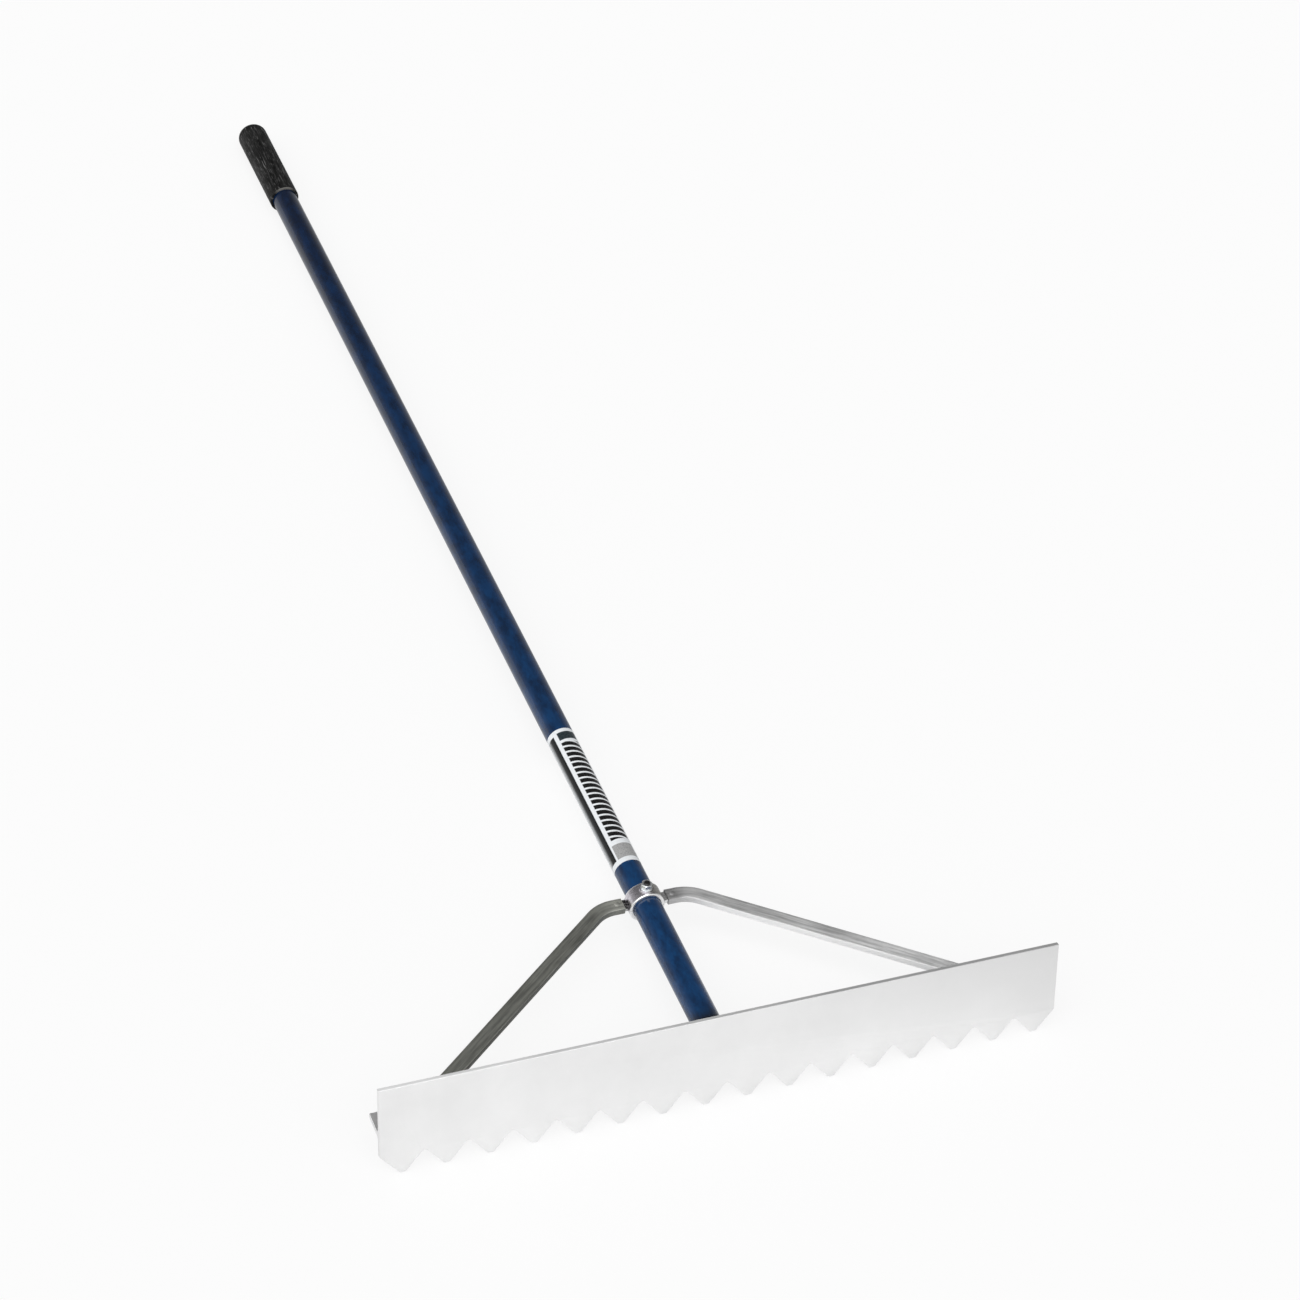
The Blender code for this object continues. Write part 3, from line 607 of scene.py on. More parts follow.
def brace_angle():
    """How far a brace turns at its bend, and the straight run from there to its bolt."""
    across = BRACE_BOLT - BEND_START
    along = TAB_BOLT_STATION - CLAMP_STATION + BEND_RADIUS
    run = sqrt(across ** 2 + along ** 2 - BEND_RADIUS ** 2)
    return atan2(across, along) - atan2(run, BEND_RADIUS), run


def brace_path(distance, side):
    """A point on a brace's middle line and the way it runs there, in X and Y."""
    angle = brace_angle()[0]
    first = BEND_START - BRACE_START
    turn = max(0.0, min(angle, (distance - first) / BEND_RADIUS))
    rest = max(0.0, distance - first - BEND_RADIUS * angle)
    x = BRACE_START + min(distance, first) + BEND_RADIUS * sin(turn) + rest * cos(turn)
    y = CLAMP_STATION - BEND_RADIUS * (1 - cos(turn)) - rest * sin(turn)
    return Vector((side * x, y)), Vector((side * cos(turn), -sin(turn)))


def brace_marks():
    """Distances along a brace: the bend's two ends, the pressing's two ends and the bolt."""
    angle, run = brace_angle()
    bend_start = BEND_START - BRACE_START
    bend_end = bend_start + BEND_RADIUS * angle
    bolt = bend_end + run
    pressed = bolt - (FLANGE_REACH - TAB_BOLT_STATION + PRESSED_MARGIN) / sin(angle)
    return bend_start, bend_end, pressed - PRESSING_LENGTH, pressed, bolt


def brace_ring(distance, side, inset):
    """A rounded rectangle across the brace, as points of the handle's frame."""
    press_start, bolt = brace_marks()[2], brace_marks()[4]
    part = max(0.0, min(1.0, (distance - press_start) / PRESSING_LENGTH))
    part = part * part * (3 - 2 * part)
    width = BRACE_WIDTH + (PRESSED_WIDTH - BRACE_WIDTH) * part
    thickness = BRACE_THICKNESS + (TAB_THICKNESS - BRACE_THICKNESS) * part
    if distance > bolt:
        width = min(width, 2 * sqrt((PRESSED_WIDTH / 2) ** 2 - (distance - bolt) ** 2))
    half_width = width / 2 - inset
    half_thickness = thickness / 2 - inset
    height = -(GAP + TAB_THICKNESS / 2) * part
    middle, direction = brace_path(distance, side)
    across = Vector((-direction.y, direction.x))
    corner = min(BRACE_CORNER - inset / 2, half_width - GAP, half_thickness - GAP)
    ring = []
    for quarter, (u, v) in enumerate(((1, 1), (-1, 1), (-1, -1), (1, -1))):
        centre = (u * (half_width - corner), v * (half_thickness - corner))
        start = quarter * pi / 2
        for sideways, up in arc(centre, corner, start, start + pi / 2, CORNER_STEPS):
            ring.append((*(middle + across * sideways), height + up))
    return ring


def make_brace(handle, name, side, surface):
    """A flat tube, bent edgewise and pressed flat where it meets the flange."""
    bend_start, bend_end, press_start, pressed, bolt = brace_marks()
    # The last ring lies just short of the tip, where it would have no width
    tip_reach = TAB_END_SHARE * PRESSED_WIDTH / 2
    tip = [bolt + tip_reach * sin(angle) for angle in spaced(0.0, pi / 2, TAB_END_STEPS)]
    bend = spaced(bend_start, bend_end, BEND_STEPS)
    outside = [0.0] + bend + spaced(press_start, pressed, PRESSING_STEPS) + tip
    inside = [press_start] + bend[::-1] + [0.0]
    rings = [brace_ring(distance, side, BRACE_WALL) for distance in inside]
    rings += [brace_ring(distance, side, 0.0) for distance in outside]
    brace = skin(name + "_arm", rings, handle)
    drill_rivet_hole(brace, side, handle)
    x, y = brace_path(bolt, side)[0]
    drill(brace, (x, y, -DRILL_REACH), (x, y, DRILL_REACH), handle)
    return finish(brace, surface, "brace", name)


def drill_rivet_hole(item, side, handle):
    place = side * RIVET_STATION
    drill(item, (place, CLAMP_STATION, -BRACE_THICKNESS), (place, CLAMP_STATION, BRACE_THICKNESS), handle,
          RIVET_RADIUS + GAP)


def make_rivet(handle, node, side, surface):
    """A rivet through the brace and the clamp's tongue, with a domed head on both faces."""
    seat = BRACE_THICKNESS / 2 + GAP
    dome = (RIVET_HEAD_RADIUS ** 2 + RIVET_HEAD_HEIGHT ** 2) / 2 / RIVET_HEAD_HEIGHT
    spread = asin(RIVET_HEAD_RADIUS / dome)
    head = [(dome * sin(angle), seat + RIVET_HEAD_HEIGHT - dome * (1 - cos(angle)))
            for angle in spaced(POLE_SHARE * spread, spread, DOME_STEPS)]
    half = head + [(RIVET_RADIUS, seat)]
    profile = half + [(radius, -height) for radius, height in reversed(half)]
    place = handle @ Matrix.Translation((side * RIVET_STATION, CLAMP_STATION, 0))
    return finish(turned(node + "_pin", profile, place, ROUND_STEPS), surface, "fastener", node)


# Fasteners

def hexagon(reach):
    """The radius of a hexagon by angle, drawn in to a circle of the reach."""
    def radius(angle):
        fold = angle % (pi / 3) - pi / 6
        return min(HEX_ACROSS / 2 / cos(fold), reach)
    return radius


def chamfered_hex(low, high, both):
    """(radius, height) rings of a hexagon whose corners are turned off at the top, or at both ends."""
    corner = HEX_ACROSS / 2 / cos(pi / 6)
    face = HEX_FACE_SHARE * HEX_ACROSS / 2
    fall = (corner - face) * HEX_CHAMFER_SLOPE
    top = [(hexagon(face + (corner - face) * part), high - fall * part)
           for part in spaced(0.0, 1.0, CHAMFER_STEPS)]
    if not both:
        return top + [(hexagon(corner), low)]
    return top + [(radius, low + high - height) for radius, height in reversed(top)]


def thread_radius(height, end):
    """The radius of the thread by angle at a height, tapered near its end."""
    def radius(angle):
        wave = (height / THREAD_PITCH - angle / (2 * pi)) % 1.0
        crest = SHANK_RADIUS - THREAD_DEPTH * abs(2 * wave - 1)
        return min(crest, BOLT_RADIUS - THREAD_DEPTH + (end - height))
    return radius


def make_bolt(name, node, place, length, surface):
    """A hex bolt along Z: its head lies under the origin and its shank runs up."""
    profile = [(POLE_RADIUS, -HEX_HEAD)]
    profile += [(radius, -height) for radius, height in chamfered_hex(0.0, HEX_HEAD, False)]
    threaded = length - NUT_HEIGHT - BOLT_STICKS_OUT
    profile += [(SHANK_RADIUS, 0.0), (SHANK_RADIUS, threaded)]
    steps = int((length - threaded) / THREAD_PITCH * THREAD_STEPS)
    profile += [(thread_radius(height, length), height) for height in spaced(threaded, length, steps)[1:]]
    return finish(turned(name, profile, place, FASTENER_STEPS), surface, "fastener", node)


def make_nut(name, node, place, surface):
    """A hex nut on Z, with its thread's mouth opened at both ends."""
    outside = chamfered_hex(0.0, NUT_HEIGHT, True)
    inside = [(HOLE_RADIUS, 0.0), (NUT_BORE, NUT_MOUTH_DEPTH)]
    inside += [(NUT_BORE, NUT_HEIGHT - NUT_MOUTH_DEPTH), (HOLE_RADIUS, NUT_HEIGHT)]
    nut = turned(name, outside + inside, place, FASTENER_STEPS, closed=True)
    return finish(nut, surface, "fastener", node)


def make_washer(name, node, place, surface):
    """A punched washer on Z: its upper edges are drawn round."""
    upper, lower = WASHER_UPPER_EDGE, WASHER_LOWER_EDGE
    height = WASHER_THICKNESS - upper
    outside = arc((WASHER_RADIUS - upper, height), upper, pi / 2, 0, WASHER_EDGE_STEPS)
    outside += [(WASHER_RADIUS, lower), (WASHER_RADIUS - lower, 0.0)]
    inside = [(WASHER_BORE + lower, 0.0), (WASHER_BORE, lower)]
    inside += arc((WASHER_BORE + upper, height), upper, pi, pi / 2, WASHER_EDGE_STEPS)
    washer = turned(name, outside + inside, place, FASTENER_STEPS, closed=True)
    return finish(washer, surface, "fastener", node)


def bolt_through(handle, name, head_face, nut_face, washers, surfaces):
    """A bolt with its nut and washers, through what lies between two faces."""
    head_face, nut_face = Vector(head_face), Vector(nut_face)
    direction = (nut_face - head_face).normalized()
    turn = Vector((0, 0, 1)).rotation_difference(direction).to_matrix().to_4x4()

    def place(point, flip=False):
        over = Matrix.Rotation(pi, 4, "X") if flip else Matrix()
        return handle @ Matrix.Translation(point) @ turn @ over

    head_seat = head_face - direction * GAP
    nut_seat = nut_face + direction * GAP
    if "head" in washers:
        make_washer(name + "_bolt_ring", name + "_head_washer", place(head_seat, flip=True), surfaces["zinc"])
        head_seat = head_seat - direction * (WASHER_THICKNESS + GAP)
    if "nut" in washers:
        make_washer(name + "_nut_ring", name + "_nut_washer", place(nut_seat), surfaces["zinc"])
        nut_seat = nut_seat + direction * (WASHER_THICKNESS + GAP)
    make_nut(name + "_hex_nut", name + "_nut", place(nut_seat), surfaces["zinc"])
    length = (nut_seat - head_seat).length + NUT_HEIGHT + BOLT_STICKS_OUT
    make_bolt(name + "_hex_bolt", name + "_bolt", place(head_seat), length, surfaces["black"])


def make_fasteners(handle, surfaces):
    bolt_through(handle, "clamp", (0, CLAMP_STATION, -PAD_HEIGHT), (0, CLAMP_STATION, PAD_HEIGHT),
                 ("head", "nut"), surfaces)
    bolt_through(handle, "cross", (-TUBE_RADIUS, CROSS_BOLT_STATION, 0), (TUBE_RADIUS, CROSS_BOLT_STATION, 0),
                 (), surfaces)
    jaw_top = FLANGE_THICKNESS + GAP + JAW_THICKNESS
    jaw_bottom = -GAP - JAW_THICKNESS
    for name, side in (("left", -1), ("right", 1)):
        x, y = brace_path(brace_marks()[4], side)[0]
        bolt_through(handle, name + "_brace", (x, y, FLANGE_THICKNESS), (x, y, -GAP - TAB_THICKNESS),
                     ("head", "nut"), surfaces)
        x, y = side * FOOT_BOLT_SPREAD / 2, FOOT_BOLT_STATION
        bolt_through(handle, name + "_foot", (x, y, jaw_top), (x, y, jaw_bottom), ("nut",), surfaces)


# Surfaces

class Nodes:
    """A node tree, and short ways to add to it."""

    def __init__(self, tree):
        self.tree = tree

    def add(self, kind, **settings):
        node = self.tree.nodes.new(kind)
        for key, value in settings.items():
            setattr(node, key, value)
        return node

    def feed(self, socket, value):
        if isinstance(value, bpy.types.NodeSocket):
            self.tree.links.new(value, socket)
        else:
            socket.default_value = value

    def filled(self, kind, *values, **settings):
        """The first output of a new node, whose inputs are fed in their order."""
        node = self.add(kind, **settings)
        for socket, value in zip(node.inputs, values):
            self.feed(socket, value)
        return node.outputs[0]

    def named(self, kind, **values):
        """The first output of a new node, whose inputs are fed by their names."""
        node = self.add(kind)
        for name, value in values.items():
            self.feed(node.inputs[name], value)
        return node.outputs[0]

    def axes(self, place):
        node = self.add("ShaderNodeSeparateXYZ")
        self.feed(node.inputs[0], place)
        return node.outputs

    def joined(self, *parts):
        return self.filled("ShaderNodeCombineXYZ", *parts)

    def math(self, operation, *values):
        return self.filled("ShaderNodeMath", *values, operation=operation)

    def product(self, first, *others):
        for other in others:
            first = self.math("MULTIPLY", first, other)
        return first

    def span(self, value, low, high, to_low=0.0, to_high=1.0, shape="LINEAR"):
        """A value from one span carried to another, and held within it."""
        return self.filled("ShaderNodeMapRange", value, low, high, to_low, to_high, interpolation_type=shape)

    def between(self, value, low, high, soft):
        """One within two bounds and nothing outside them, with soft edges."""
        return self.product(self.span(value, low - soft, low + soft),
                            self.span(value, high - soft, high + soft, 1.0, 0.0))

    def blend(self, share, first, second):
        return self.filled("ShaderNodeMixShader", share, first, second)


class Surface(Nodes):
    """A material with a Principled shader, whose places are those of one frame of the lute."""

    def __init__(self, name, local):
        self.material = bpy.data.materials.new(name)
        self.material.use_nodes = True
        super().__init__(self.material.node_tree)
        self.shader = self.tree.nodes["Principled BSDF"]
        place = self.add("ShaderNodeTexCoord").outputs["Object"]
        self.place = self.filled("ShaderNodeMapping", place, local.to_translation(), local.to_euler(),
                                 vector_type="TEXTURE")

    def set(self, **values):
        for key, value in values.items():
            self.feed(self.shader.inputs[key.replace("_", " ")], value)

    def noise(self, scale, detail=3.0, roughness=0.5, place=None):
        """A soft noise, whose scale, in waves to the metre, may differ along each axis."""
        waves = scale if isinstance(scale, tuple) else (scale,) * 3
        scaled = self.named("ShaderNodeMapping", Vector=place or self.place, Scale=waves)
        return self.named("ShaderNodeTexNoise", Vector=scaled, Scale=1.0, Detail=detail, Roughness=roughness)

    def vary(self, noise, low=0.0, high=1.0):
        """A noise, most of which lies between 0.3 and 0.7, carried to another span."""
        return self.span(noise, 0.3, 0.7, low, high)

    def mix(self, share, first, second):
        """A colour between two, through the node's colour sockets."""
        node = self.add("ShaderNodeMix", data_type="RGBA")
        self.feed(node.inputs["Factor"], share)
        self.feed(node.inputs[6], first)
        self.feed(node.inputs[7], second)
        return node.outputs[2]

    def bump(self, height, strength, distance):
        self.set(Normal=self.named("ShaderNodeBump", Strength=strength, Distance=distance, Height=height))

    def draw_along(self, direction, amount):
        """Spread the gloss across a direction in the world. The handle's frame is about a degree off it."""
        normal = self.add("ShaderNodeNewGeometry").outputs["Normal"]
        across = self.filled("ShaderNodeVectorMath", direction, normal, operation="CROSS_PRODUCT")
        self.set(Tangent=across, Anisotropic=amount)


def grey(value, tint=(1.0, 1.0, 1.0)):
    return (*(value * part for part in tint), 1.0)


def aluminium_surface(head):
    """Mill finish: fine lines along the blade, clouds, a painted shade over the upper right, and a dull top
    edge.
    """
    surface = Surface("mill_aluminium", head)
    x, _, z = surface.axes(surface.place)
    lines = surface.noise((6.0, 2200.0, 2200.0), 4.0, 0.6)
    broad = surface.noise((2.0, 260.0, 260.0))
    clouds = surface.noise(9.0, 4.0, 0.6)
    # Painted shade: the blade's face is darkened towards its upper right end
    upper_right_shade = surface.product(surface.span(x, *BLADE_SHADE_X), surface.span(z, *BLADE_SHADE_Z, 0.2, 1.0))
    tone = surface.mix(surface.vary(clouds), grey(0.83), grey(0.89))
    surface.set(Metallic=1.0, Base_Color=surface.mix(upper_right_shade, tone, grey(0.75)))
    cloudy = surface.span(clouds, 0.35, 0.65, -0.03, 0.04)
    worn = surface.product(surface.span(z, *WORN_TOP), surface.span(x, *WORN_X, 0.40, 0.12))
    rough = surface.math("ADD", surface.vary(lines, 0.32, 0.44), cloudy)
    surface.set(Roughness=surface.math("ADD", rough, worn))
    # A little off X, so that the head's end faces have a direction too
    surface.draw_along((1.0, 0.02, 0.02), 0.35)
    surface.bump(surface.math("ADD", lines, surface.product(broad, 1.5)), 0.12, 0.0002)
    return surface.material


def cast_surface(handle):
    """Sand-cast metal: grainy and dull."""
    surface = Surface("cast_aluminium", handle)
    grain = surface.noise(1400.0, 3.0, 0.6)
    surface.set(Metallic=1.0, Roughness=surface.vary(grain, 0.48, 0.66))
    surface.set(Base_Color=surface.mix(surface.vary(surface.noise(60.0)), grey(0.48), grey(0.60)))
    surface.bump(grain, 0.35, 0.0004)
    return surface.material


def follow_arm(surface, side):
    """Places that turn with a brace's bend: on its straight part, across it and in all, and its direction."""
    x, y, _ = surface.axes(surface.place)
    angle = brace_angle()[0]
    right = surface.math("SUBTRACT", surface.product(x, side), BEND_START)
    up = surface.math("SUBTRACT", y, CLAMP_STATION - BEND_RADIUS)
    turn = surface.span(surface.math("ARCTAN2", right, up), 0.0, angle, 0.0, angle)
    lean, reach = surface.math("SINE", turn), surface.math("COSINE", turn)
    straight = surface.math("SUBTRACT", surface.product(right, reach), surface.product(up, lean))
    across = surface.math("ADD", surface.product(right, lean), surface.product(up, reach))
    distance = surface.math("ADD", straight, surface.product(turn, BEND_RADIUS))
    direction = surface.joined(surface.product(reach, side), surface.product(lean, -1.0), 0.0)
    return straight, across, distance, direction


def brace_surface(name, side, handle):
    """Drawn metal: fine lines that follow the arm round its bend, and spread its gloss across them, with
    painted light and shade on its top and side.
    """
    greys = ARM_GREYS_WITH_PAINTED_LIGHT[name]
    tint = greys["tint"]
    surface = Surface("drawn_metal_" + name, handle)
    straight, across, distance, direction = follow_arm(surface, side)
    arm = surface.joined(distance, across, surface.axes(surface.place)[2])
    lines = surface.noise((12.0, 1800.0, 1800.0), 4.0, 0.6, arm)
    streaks = surface.noise((16.0, 230.0, 400.0), 3.0, 0.6, arm)
    clouds = surface.noise(40.0, 4.0, 0.6)
    tone = surface.math("ADD", surface.vary(clouds, 0.0, 0.3), surface.span(streaks, 0.38, 0.62, 0.0, 0.7))
    inner, outer = (surface.mix(tone, grey(level * (1 - swing), tint), grey(level * (1 + swing), tint))
                    for level, swing in zip(greys["ends"], ARM_SWINGS))
    # Painted light: on the right brace the top grows lighter towards its far end
    top = surface.mix(surface.span(straight, *ARM_FADE), inner, outer)
    edge = BEND_RADIUS - BRACE_WIDTH / 2
    on_side = surface.span(across, *(edge + step for step in ARM_SIDE_EDGE), 1.0, 0.0)
    # Painted shade and painted reflection on the side: dark on the left brace, bright on the right brace
    near, far = (grey(level, tint) for level in greys["side"])
    painted_side_light = surface.mix(surface.span(distance, *ARM_SIDE_FADE), near, far)
    surface.set(Metallic=1.0, Base_Color=surface.mix(on_side, top, painted_side_light))
    surface.set(Roughness=surface.vary(lines, 0.40, 0.50))
    surface.draw_along(direction, 0.9)
    surface.bump(surface.math("ADD", lines, streaks), 0.12, 0.0002)
    return surface.material


def strap_surface(handle):
    """Satin metal, with painted highlights on its rounded edges and tongues, a right half painted darker as
    shade, and patches of painted shade on its left tongue.
    """
    surface = Surface("satin_aluminium", handle)
    x, y, _ = surface.axes(surface.place)
    marks = surface.noise((300.0, 900.0, 300.0), 4.0, 0.6)
    clouds = surface.vary(surface.noise((90.0, 260.0, 90.0)))
    from_middle = surface.math("ABSOLUTE", surface.math("SUBTRACT", y, CLAMP_STATION))
    # Painted highlight: a band along each rounded edge of the strap
    rub_marks_and_sheen = surface.span(from_middle, *STRAP_EDGE_SHEEN)
    on_tongue = surface.span(surface.math("ABSOLUTE", x), *(STRAP_OUTER + step for step in TONGUE_EDGE))
    # Painted shade: the left tongue, next to the ring, is painted near black in patches
    shade_patches = surface.span(surface.noise(320.0), 0.40, 0.56, 0.35, 0.95)
    tongue_shade = surface.product(on_tongue, shade_patches, surface.span(x, *TONGUE_SHADE, 1.0, 0.0))
    # Painted light and shade: the left half of the strap is painted lighter and the right half darker
    left = surface.mix(clouds, grey(0.50, (1.0, 0.95, 1.02)), grey(0.72, (1.0, 0.96, 1.03)))
    right = surface.mix(clouds, grey(0.32, (1.0, 0.97, 0.93)), grey(0.48, (1.0, 0.98, 0.95)))
    tone = surface.mix(surface.span(x, *STRAP_SHADE), left, right)
    # Painted highlight: the rounded edges and the tongues are painted near white
    tone = surface.mix(surface.math("MAXIMUM", rub_marks_and_sheen, on_tongue), tone, grey(0.93))
    surface.set(Metallic=1.0, Base_Color=surface.mix(tongue_shade, tone, grey(0.03, (1.0, 0.95, 0.9))))
    surface.set(Roughness=surface.vary(marks, 0.2, 0.3))
    surface.bump(marks, 0.05, 0.0001)
    return surface.material


def zinc_surface(handle):
    """Zinc plate: bright, with a faint cloud."""
    surface = Surface("zinc_plate", handle)
    grain = surface.noise(900.0)
    clouds = surface.vary(surface.noise(180.0))
    surface.set(Metallic=1.0, Roughness=surface.vary(grain, 0.22, 0.34))
    surface.set(Base_Color=surface.mix(clouds, grey(0.84, (0.98, 1.0, 1.0)), grey(0.93, (0.97, 1.0, 1.02))))
    surface.bump(grain, 0.05, 0.0001)
    return surface.material


def black_surface(handle):
    """Blackened steel, a little worn."""
    surface = Surface("black_oxide", handle)
    grain = surface.noise(900.0)
    wear = surface.span(surface.noise(420.0, 4.0, 0.65), 0.55, 0.75)
    surface.set(Metallic=1.0, Roughness=surface.vary(grain, 0.3, 0.46))
    surface.set(Base_Color=surface.mix(wear, grey(0.055), grey(0.22, (1.0, 0.96, 0.9))))
    surface.bump(grain, 0.08, 0.0002)
    return surface.material


def blue_surface(turned_handle):
    """Powder coat: cloudy and paler near the head, with a faint orange peel, rub marks and a painted shade
    where it meets the blade.
    """
    surface = Surface("blue_powder_coat", turned_handle)
    height = surface.axes(surface.place)[2]
    peel = surface.noise(420.0, 2.0, 0.4)
    clouds = surface.noise((70.0, 70.0, 30.0), 4.0, 0.7)
    rubs = surface.noise((260.0, 260.0, 5.0), 3.0, 0.6)
    faded = surface.span(height, *TUBE_FADE)
    light = surface.mix(faded, (0.0036, 0.0440, 0.138, 1.0), (0.0010, 0.0115, 0.044, 1.0))
    deep = surface.mix(faded, (0.0016, 0.0210, 0.070, 1.0), (0.0003, 0.0045, 0.018, 1.0))
    coat = surface.mix(surface.span(clouds, 0.38, 0.62), deep, light)
    # Painted shade: the coat is darkened to near black just above the blade, where the cross bolt and the
    # blade shade it
    surface.set(Base_Color=surface.mix(surface.span(height, *TUBE_SHADE, 0.85, 0.0), coat, grey(0.006)))
    rub_marks_and_sheen = surface.span(rubs, 0.62, 0.8, 0.0, 0.12)
    surface.set(Roughness=surface.math("ADD", surface.vary(peel, 0.16, 0.22), rub_marks_and_sheen))
    surface.bump(peel, 0.08, 0.0004)
    return surface.material


def grip_surface(turned_handle):
    """Moulded vinyl: matt, with fine streaks and scratches along the sleeve, and a painted highlight on the
    top of its rim.
    """
    surface = Surface("black_vinyl", turned_handle)
    x, y, z = surface.axes(surface.place)
    unrolled = surface.joined(surface.math("ARCTAN2", y, x), z, 0.0)
    streaks = surface.noise((7.0, 16.0, 1.0), 4.0, 0.6, unrolled)
    scuffs = surface.noise((14.0, 42.0, 1.0), 2.0, 0.6, unrolled)
    scratches = surface.noise((46.0, 30.0, 1.0), 2.0, 0.5, unrolled)
    grain = surface.noise(1600.0, 2.0)
    scuffed = surface.math("MAXIMUM", surface.span(scuffs, 0.60, 0.66),
                           surface.span(scratches, 0.61, 0.71, 0.0, 0.9))
    tone = surface.mix(surface.span(streaks, 0.42, 0.60), grey(0.002), grey(0.014))
    tone = surface.mix(scuffed, tone, grey(0.11))
    mouth = GRIP_END - GRIP_LENGTH
    turn = surface.math("ARCTAN2", x, surface.product(y, -1.0))
    # Painted highlight: the top of the mouth's rim is painted a lighter grey
    rim_highlight = surface.product(surface.span(z, *(mouth + step for step in RIM_EDGE), 1.0, 0.0),
                          surface.between(turn, RIM_LEFT, RIM_RIGHT, RIM_SOFT))
    surface.set(Base_Color=surface.mix(rim_highlight, tone, grey(0.14, (1.0, 0.97, 0.92))))
    surface.set(Roughness=surface.vary(streaks, 0.6, 0.46), Specular_IOR_Level=0.12)
    surface.bump(surface.math("ADD", grain, surface.product(streaks, 4.0)), 0.2, 0.0003)
    return surface.material


def wrap_surface(turned_handle):
    """White film with a printed line along it, a row of plain slanted bars and two plain panels."""
    surface = Surface("printed_film", turned_handle)
    x, y, z = surface.axes(surface.place)
    turn = surface.math("ARCTAN2", x, surface.product(y, -1.0))
    angle = surface.product(turn, 180 / pi)
    soft = PRINT_BLUR_ROUND
    band = surface.between(angle, PRINT_LEFT, PRINT_RIGHT, soft)

    def along(start, end):
        return surface.between(z, start, end, PRINT_BLUR)

    fade = surface.span(angle, LINE_LEFT - LINE_FADE, LINE_LEFT)
    line = surface.product(fade, surface.span(angle, LINE_RIGHT - soft, LINE_RIGHT + soft, 1.0, 0.0),
                           along(WRAP_START + WRAP_RING, WRAP_END - WRAP_RING))
    slanted = surface.math("ADD", z, surface.product(angle, BAR_SLANT))
    wave = surface.math("PINGPONG", surface.math("DIVIDE", slanted, BAR_PITCH), 0.5)
    bars = surface.product(surface.span(wave, *BAR_EDGE), band, along(BARS_START, BARS_END))
    wider_band = surface.between(angle, PANEL_LEFT, PRINT_RIGHT, soft)
    panel = surface.product(wider_band, along(PANEL_START, PANEL_END))
    block = surface.product(along(BLOCK_START, BLOCK_END), band)
    dots = surface.mix(surface.span(surface.noise(900.0, 2.0), 0.35, 0.65), grey(0.26), grey(0.42))
    colour = surface.mix(panel, grey(0.79, (0.97, 1.0, 1.03)), dots)
    colour = surface.mix(block, colour, grey(0.034, (0.7, 1.0, 1.15)))
    colour = surface.mix(line, colour, grey(0.006, (0.8, 1.0, 1.1)))
    surface.set(Base_Color=surface.mix(bars, colour, grey(0.010)), Specular_IOR_Level=0.22)
    surface.set(Roughness=surface.vary(surface.noise(300.0), 0.22, 0.34))
    surface.bump(surface.noise(120.0, 2.0), 0.04, 0.0003)
    return surface.material


def make_surfaces(handle, head):
    turned_handle = handle_turn(handle)
    return {
        "aluminium": aluminium_surface(head),
        "cast": cast_surface(handle),
        "left_brace": brace_surface("left_brace", -1, handle),
        "right_brace": brace_surface("right_brace", 1, handle),
        "strap": strap_surface(handle),
        "zinc": zinc_surface(handle),
        "black": black_surface(handle),
        "blue": blue_surface(turned_handle),
        "grip": grip_surface(turned_handle),
        "wrap": wrap_surface(turned_handle),
    }


# Floor, light and camera

def make_floor():
    """A pale floor, near white to the camera, that the metal sees with its shadows and a patch of painted
    shade.
    """
    shape = bmesh.new()
    bmesh.ops.create_grid(shape, x_segments=1, y_segments=1, size=FLOOR_HALF)
    floor = add_object("floor", mesh_from("floor", shape), Matrix.Translation((0, 0, -FLOOR_DROP)))
    material = bpy.data.materials.new("floor_paper")
    material.use_nodes = True
    nodes = Nodes(material.node_tree)
    nodes.tree.nodes.clear()
    paper = nodes.filled("ShaderNodeBsdfDiffuse", grey(FLOOR_GREY))
    white = nodes.filled("ShaderNodeEmission", grey(FLOOR_WHITE))
    reflected_shade = nodes.filled("ShaderNodeEmission", grey(REFLECTED_SHADE_GREY))
    ray = nodes.add("ShaderNodeLightPath").outputs
    x, y, _ = nodes.axes(nodes.add("ShaderNodeTexCoord").outputs["Object"])
    on_reflected_shade = nodes.product(nodes.span(x, *REFLECTED_SHADE_X), nodes.span(y, *REFLECTED_SHADE_Y))
    seen = nodes.blend(nodes.product(ray["Is Glossy Ray"], GLOSS_WHITE), paper, white)
    seen = nodes.blend(nodes.product(ray["Is Camera Ray"], CAMERA_WHITE), seen, white)
    # Painted shade: a grey patch on the floor to the right of the handle, seen only in reflections
    seen = nodes.blend(nodes.product(on_reflected_shade, ray["Is Glossy Ray"], REFLECTED_SHADE_SHARE), seen, reflected_shade)
    nodes.feed(nodes.add("ShaderNodeOutputMaterial").inputs["Surface"], seen)
    floor.data.materials.append(material)


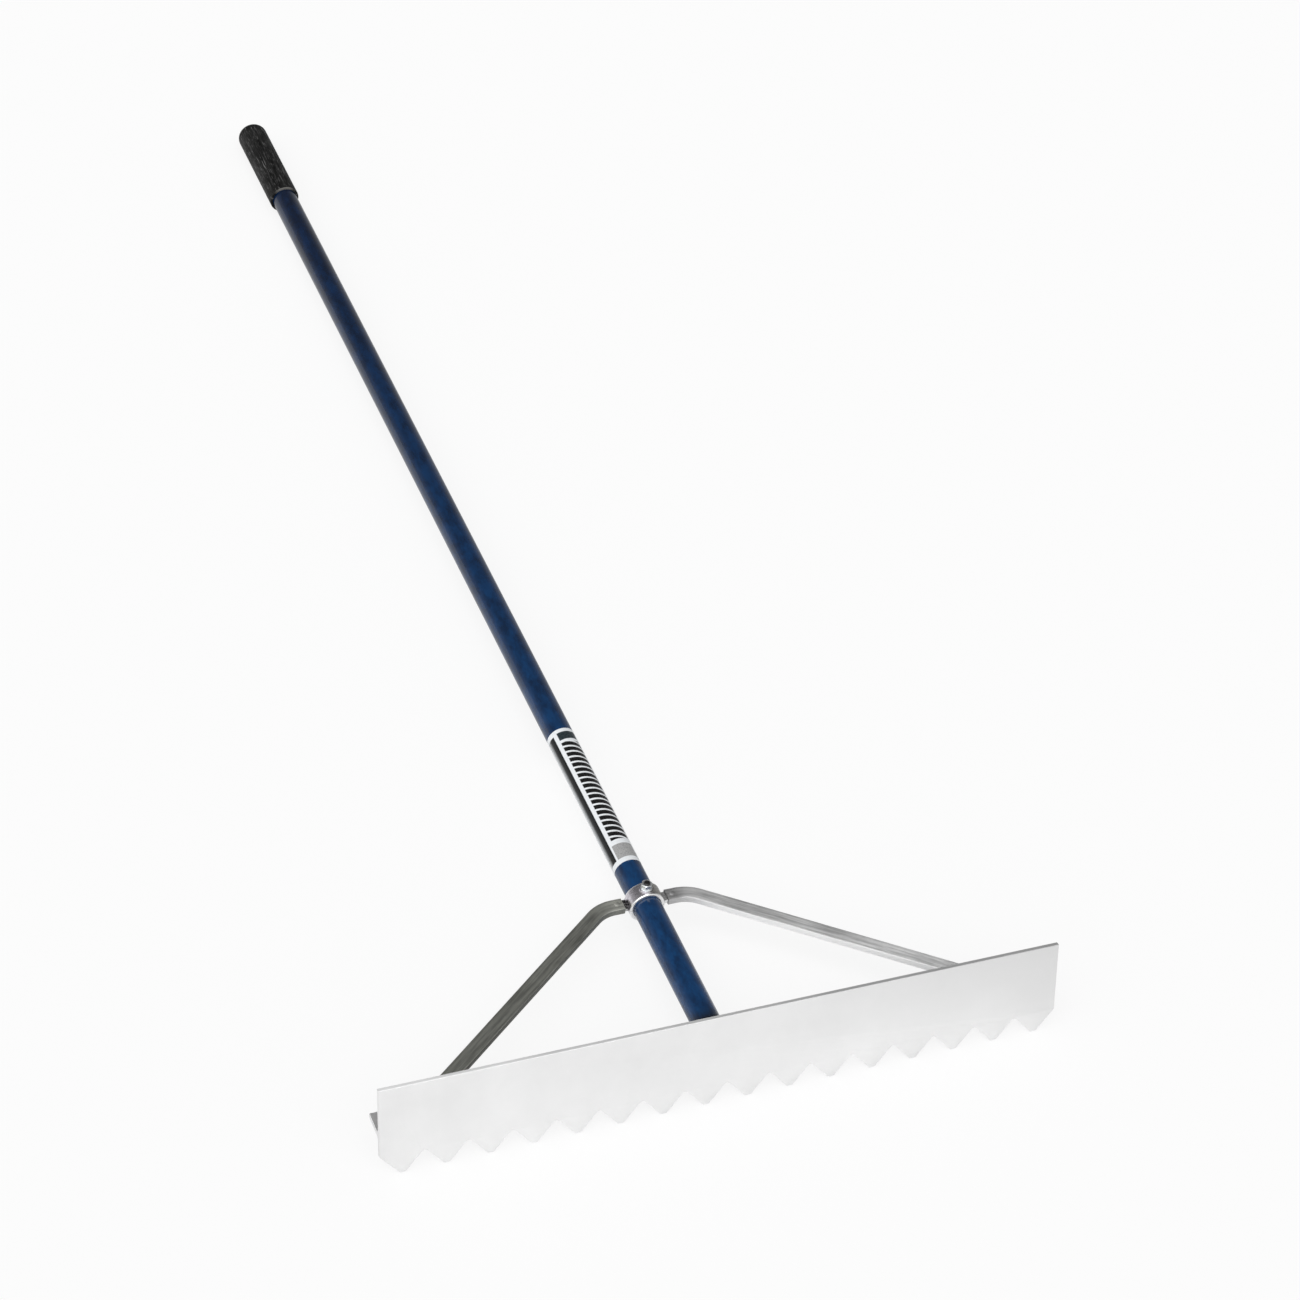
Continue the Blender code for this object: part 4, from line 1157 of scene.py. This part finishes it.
def make_sky():
    """A soft room: bright at the front and the left, darker overhead behind, and pale low down."""
    world = bpy.data.worlds.new("studio")
    bpy.context.scene.world = world
    world.use_nodes = True
    nodes = Nodes(world.node_tree)
    place = nodes.add("ShaderNodeTexCoord").outputs["Generated"]
    towards = nodes.add("ShaderNodeVectorMath", operation="DOT_PRODUCT")
    nodes.feed(towards.inputs[0], place)
    nodes.feed(towards.inputs[1], BRIGHT_SIDE)
    behind = nodes.span(nodes.axes(place)[2], *SKY_HEIGHTS, SKY_LOW, SKY_DARK, shape="SMOOTHSTEP")
    level = nodes.span(towards.outputs["Value"], *BRIGHT_SPAN, behind, SKY_BRIGHT, shape="SMOOTHSTEP")
    background = nodes.tree.nodes["Background"]
    nodes.feed(background.inputs["Strength"], level)
    nodes.feed(background.inputs["Color"], grey(1.0))


def make_light():
    """The soft room and one large soft lamp, from the front left and high up."""
    make_sky()
    lamp = bpy.data.lights.new("key_light", "SUN")
    lamp.energy = KEY_STRENGTH
    lamp.angle = KEY_ANGLE
    add_object("key_light", lamp, Vector(KEY_FROM).to_track_quat("Z", "Y").to_matrix().to_4x4())


def make_camera():
    """The photograph's view: an azimuth from +Y towards +X, an elevation and a roll."""
    camera = bpy.data.cameras.new("camera")
    camera.sensor_width = SENSOR_WIDTH
    camera.lens = FOCAL_PIXELS * SENSOR_WIDTH / IMAGE_PIXELS
    turn = Matrix.Rotation(-CAMERA_AZIMUTH, 4, "Z") @ Matrix.Rotation(pi / 2 + CAMERA_ELEVATION, 4, "X")
    place = Matrix.Translation(CAMERA_PLACE) @ turn @ Matrix.Rotation(CAMERA_ROLL, 4, "Z")
    bpy.context.scene.camera = add_object("camera", camera, place)


def corners(box):
    return [[round(value, 6) for value in corner] for corner in box]


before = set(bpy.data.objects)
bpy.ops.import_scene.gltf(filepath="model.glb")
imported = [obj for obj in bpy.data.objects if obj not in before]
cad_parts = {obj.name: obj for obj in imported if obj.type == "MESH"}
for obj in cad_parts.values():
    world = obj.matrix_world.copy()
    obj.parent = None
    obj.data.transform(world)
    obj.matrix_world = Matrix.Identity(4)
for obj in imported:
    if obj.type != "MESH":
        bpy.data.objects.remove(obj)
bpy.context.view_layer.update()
handle_frame, head_frame = local_frames()
surfaces = make_surfaces(handle_frame, head_frame)
make_head(handle_frame, head_frame, surfaces["aluminium"])
make_tube(handle_frame, surfaces["blue"])
make_wrap(handle_frame, surfaces["wrap"])
make_grip(handle_frame, surfaces["grip"])
make_foot(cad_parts["handle_foot"], surfaces["cast"])
make_clamp(handle_frame, surfaces["strap"])
for brace, side in (("left_brace", -1), ("right_brace", 1)):
    make_brace(handle_frame, brace, side, surfaces[brace])
    make_rivet(handle_frame, brace + "_rivet", side, surfaces[brace])
make_fasteners(handle_frame, surfaces)
make_floor()
make_light()
make_camera()
bpy.context.scene.view_settings.view_transform = "Standard"
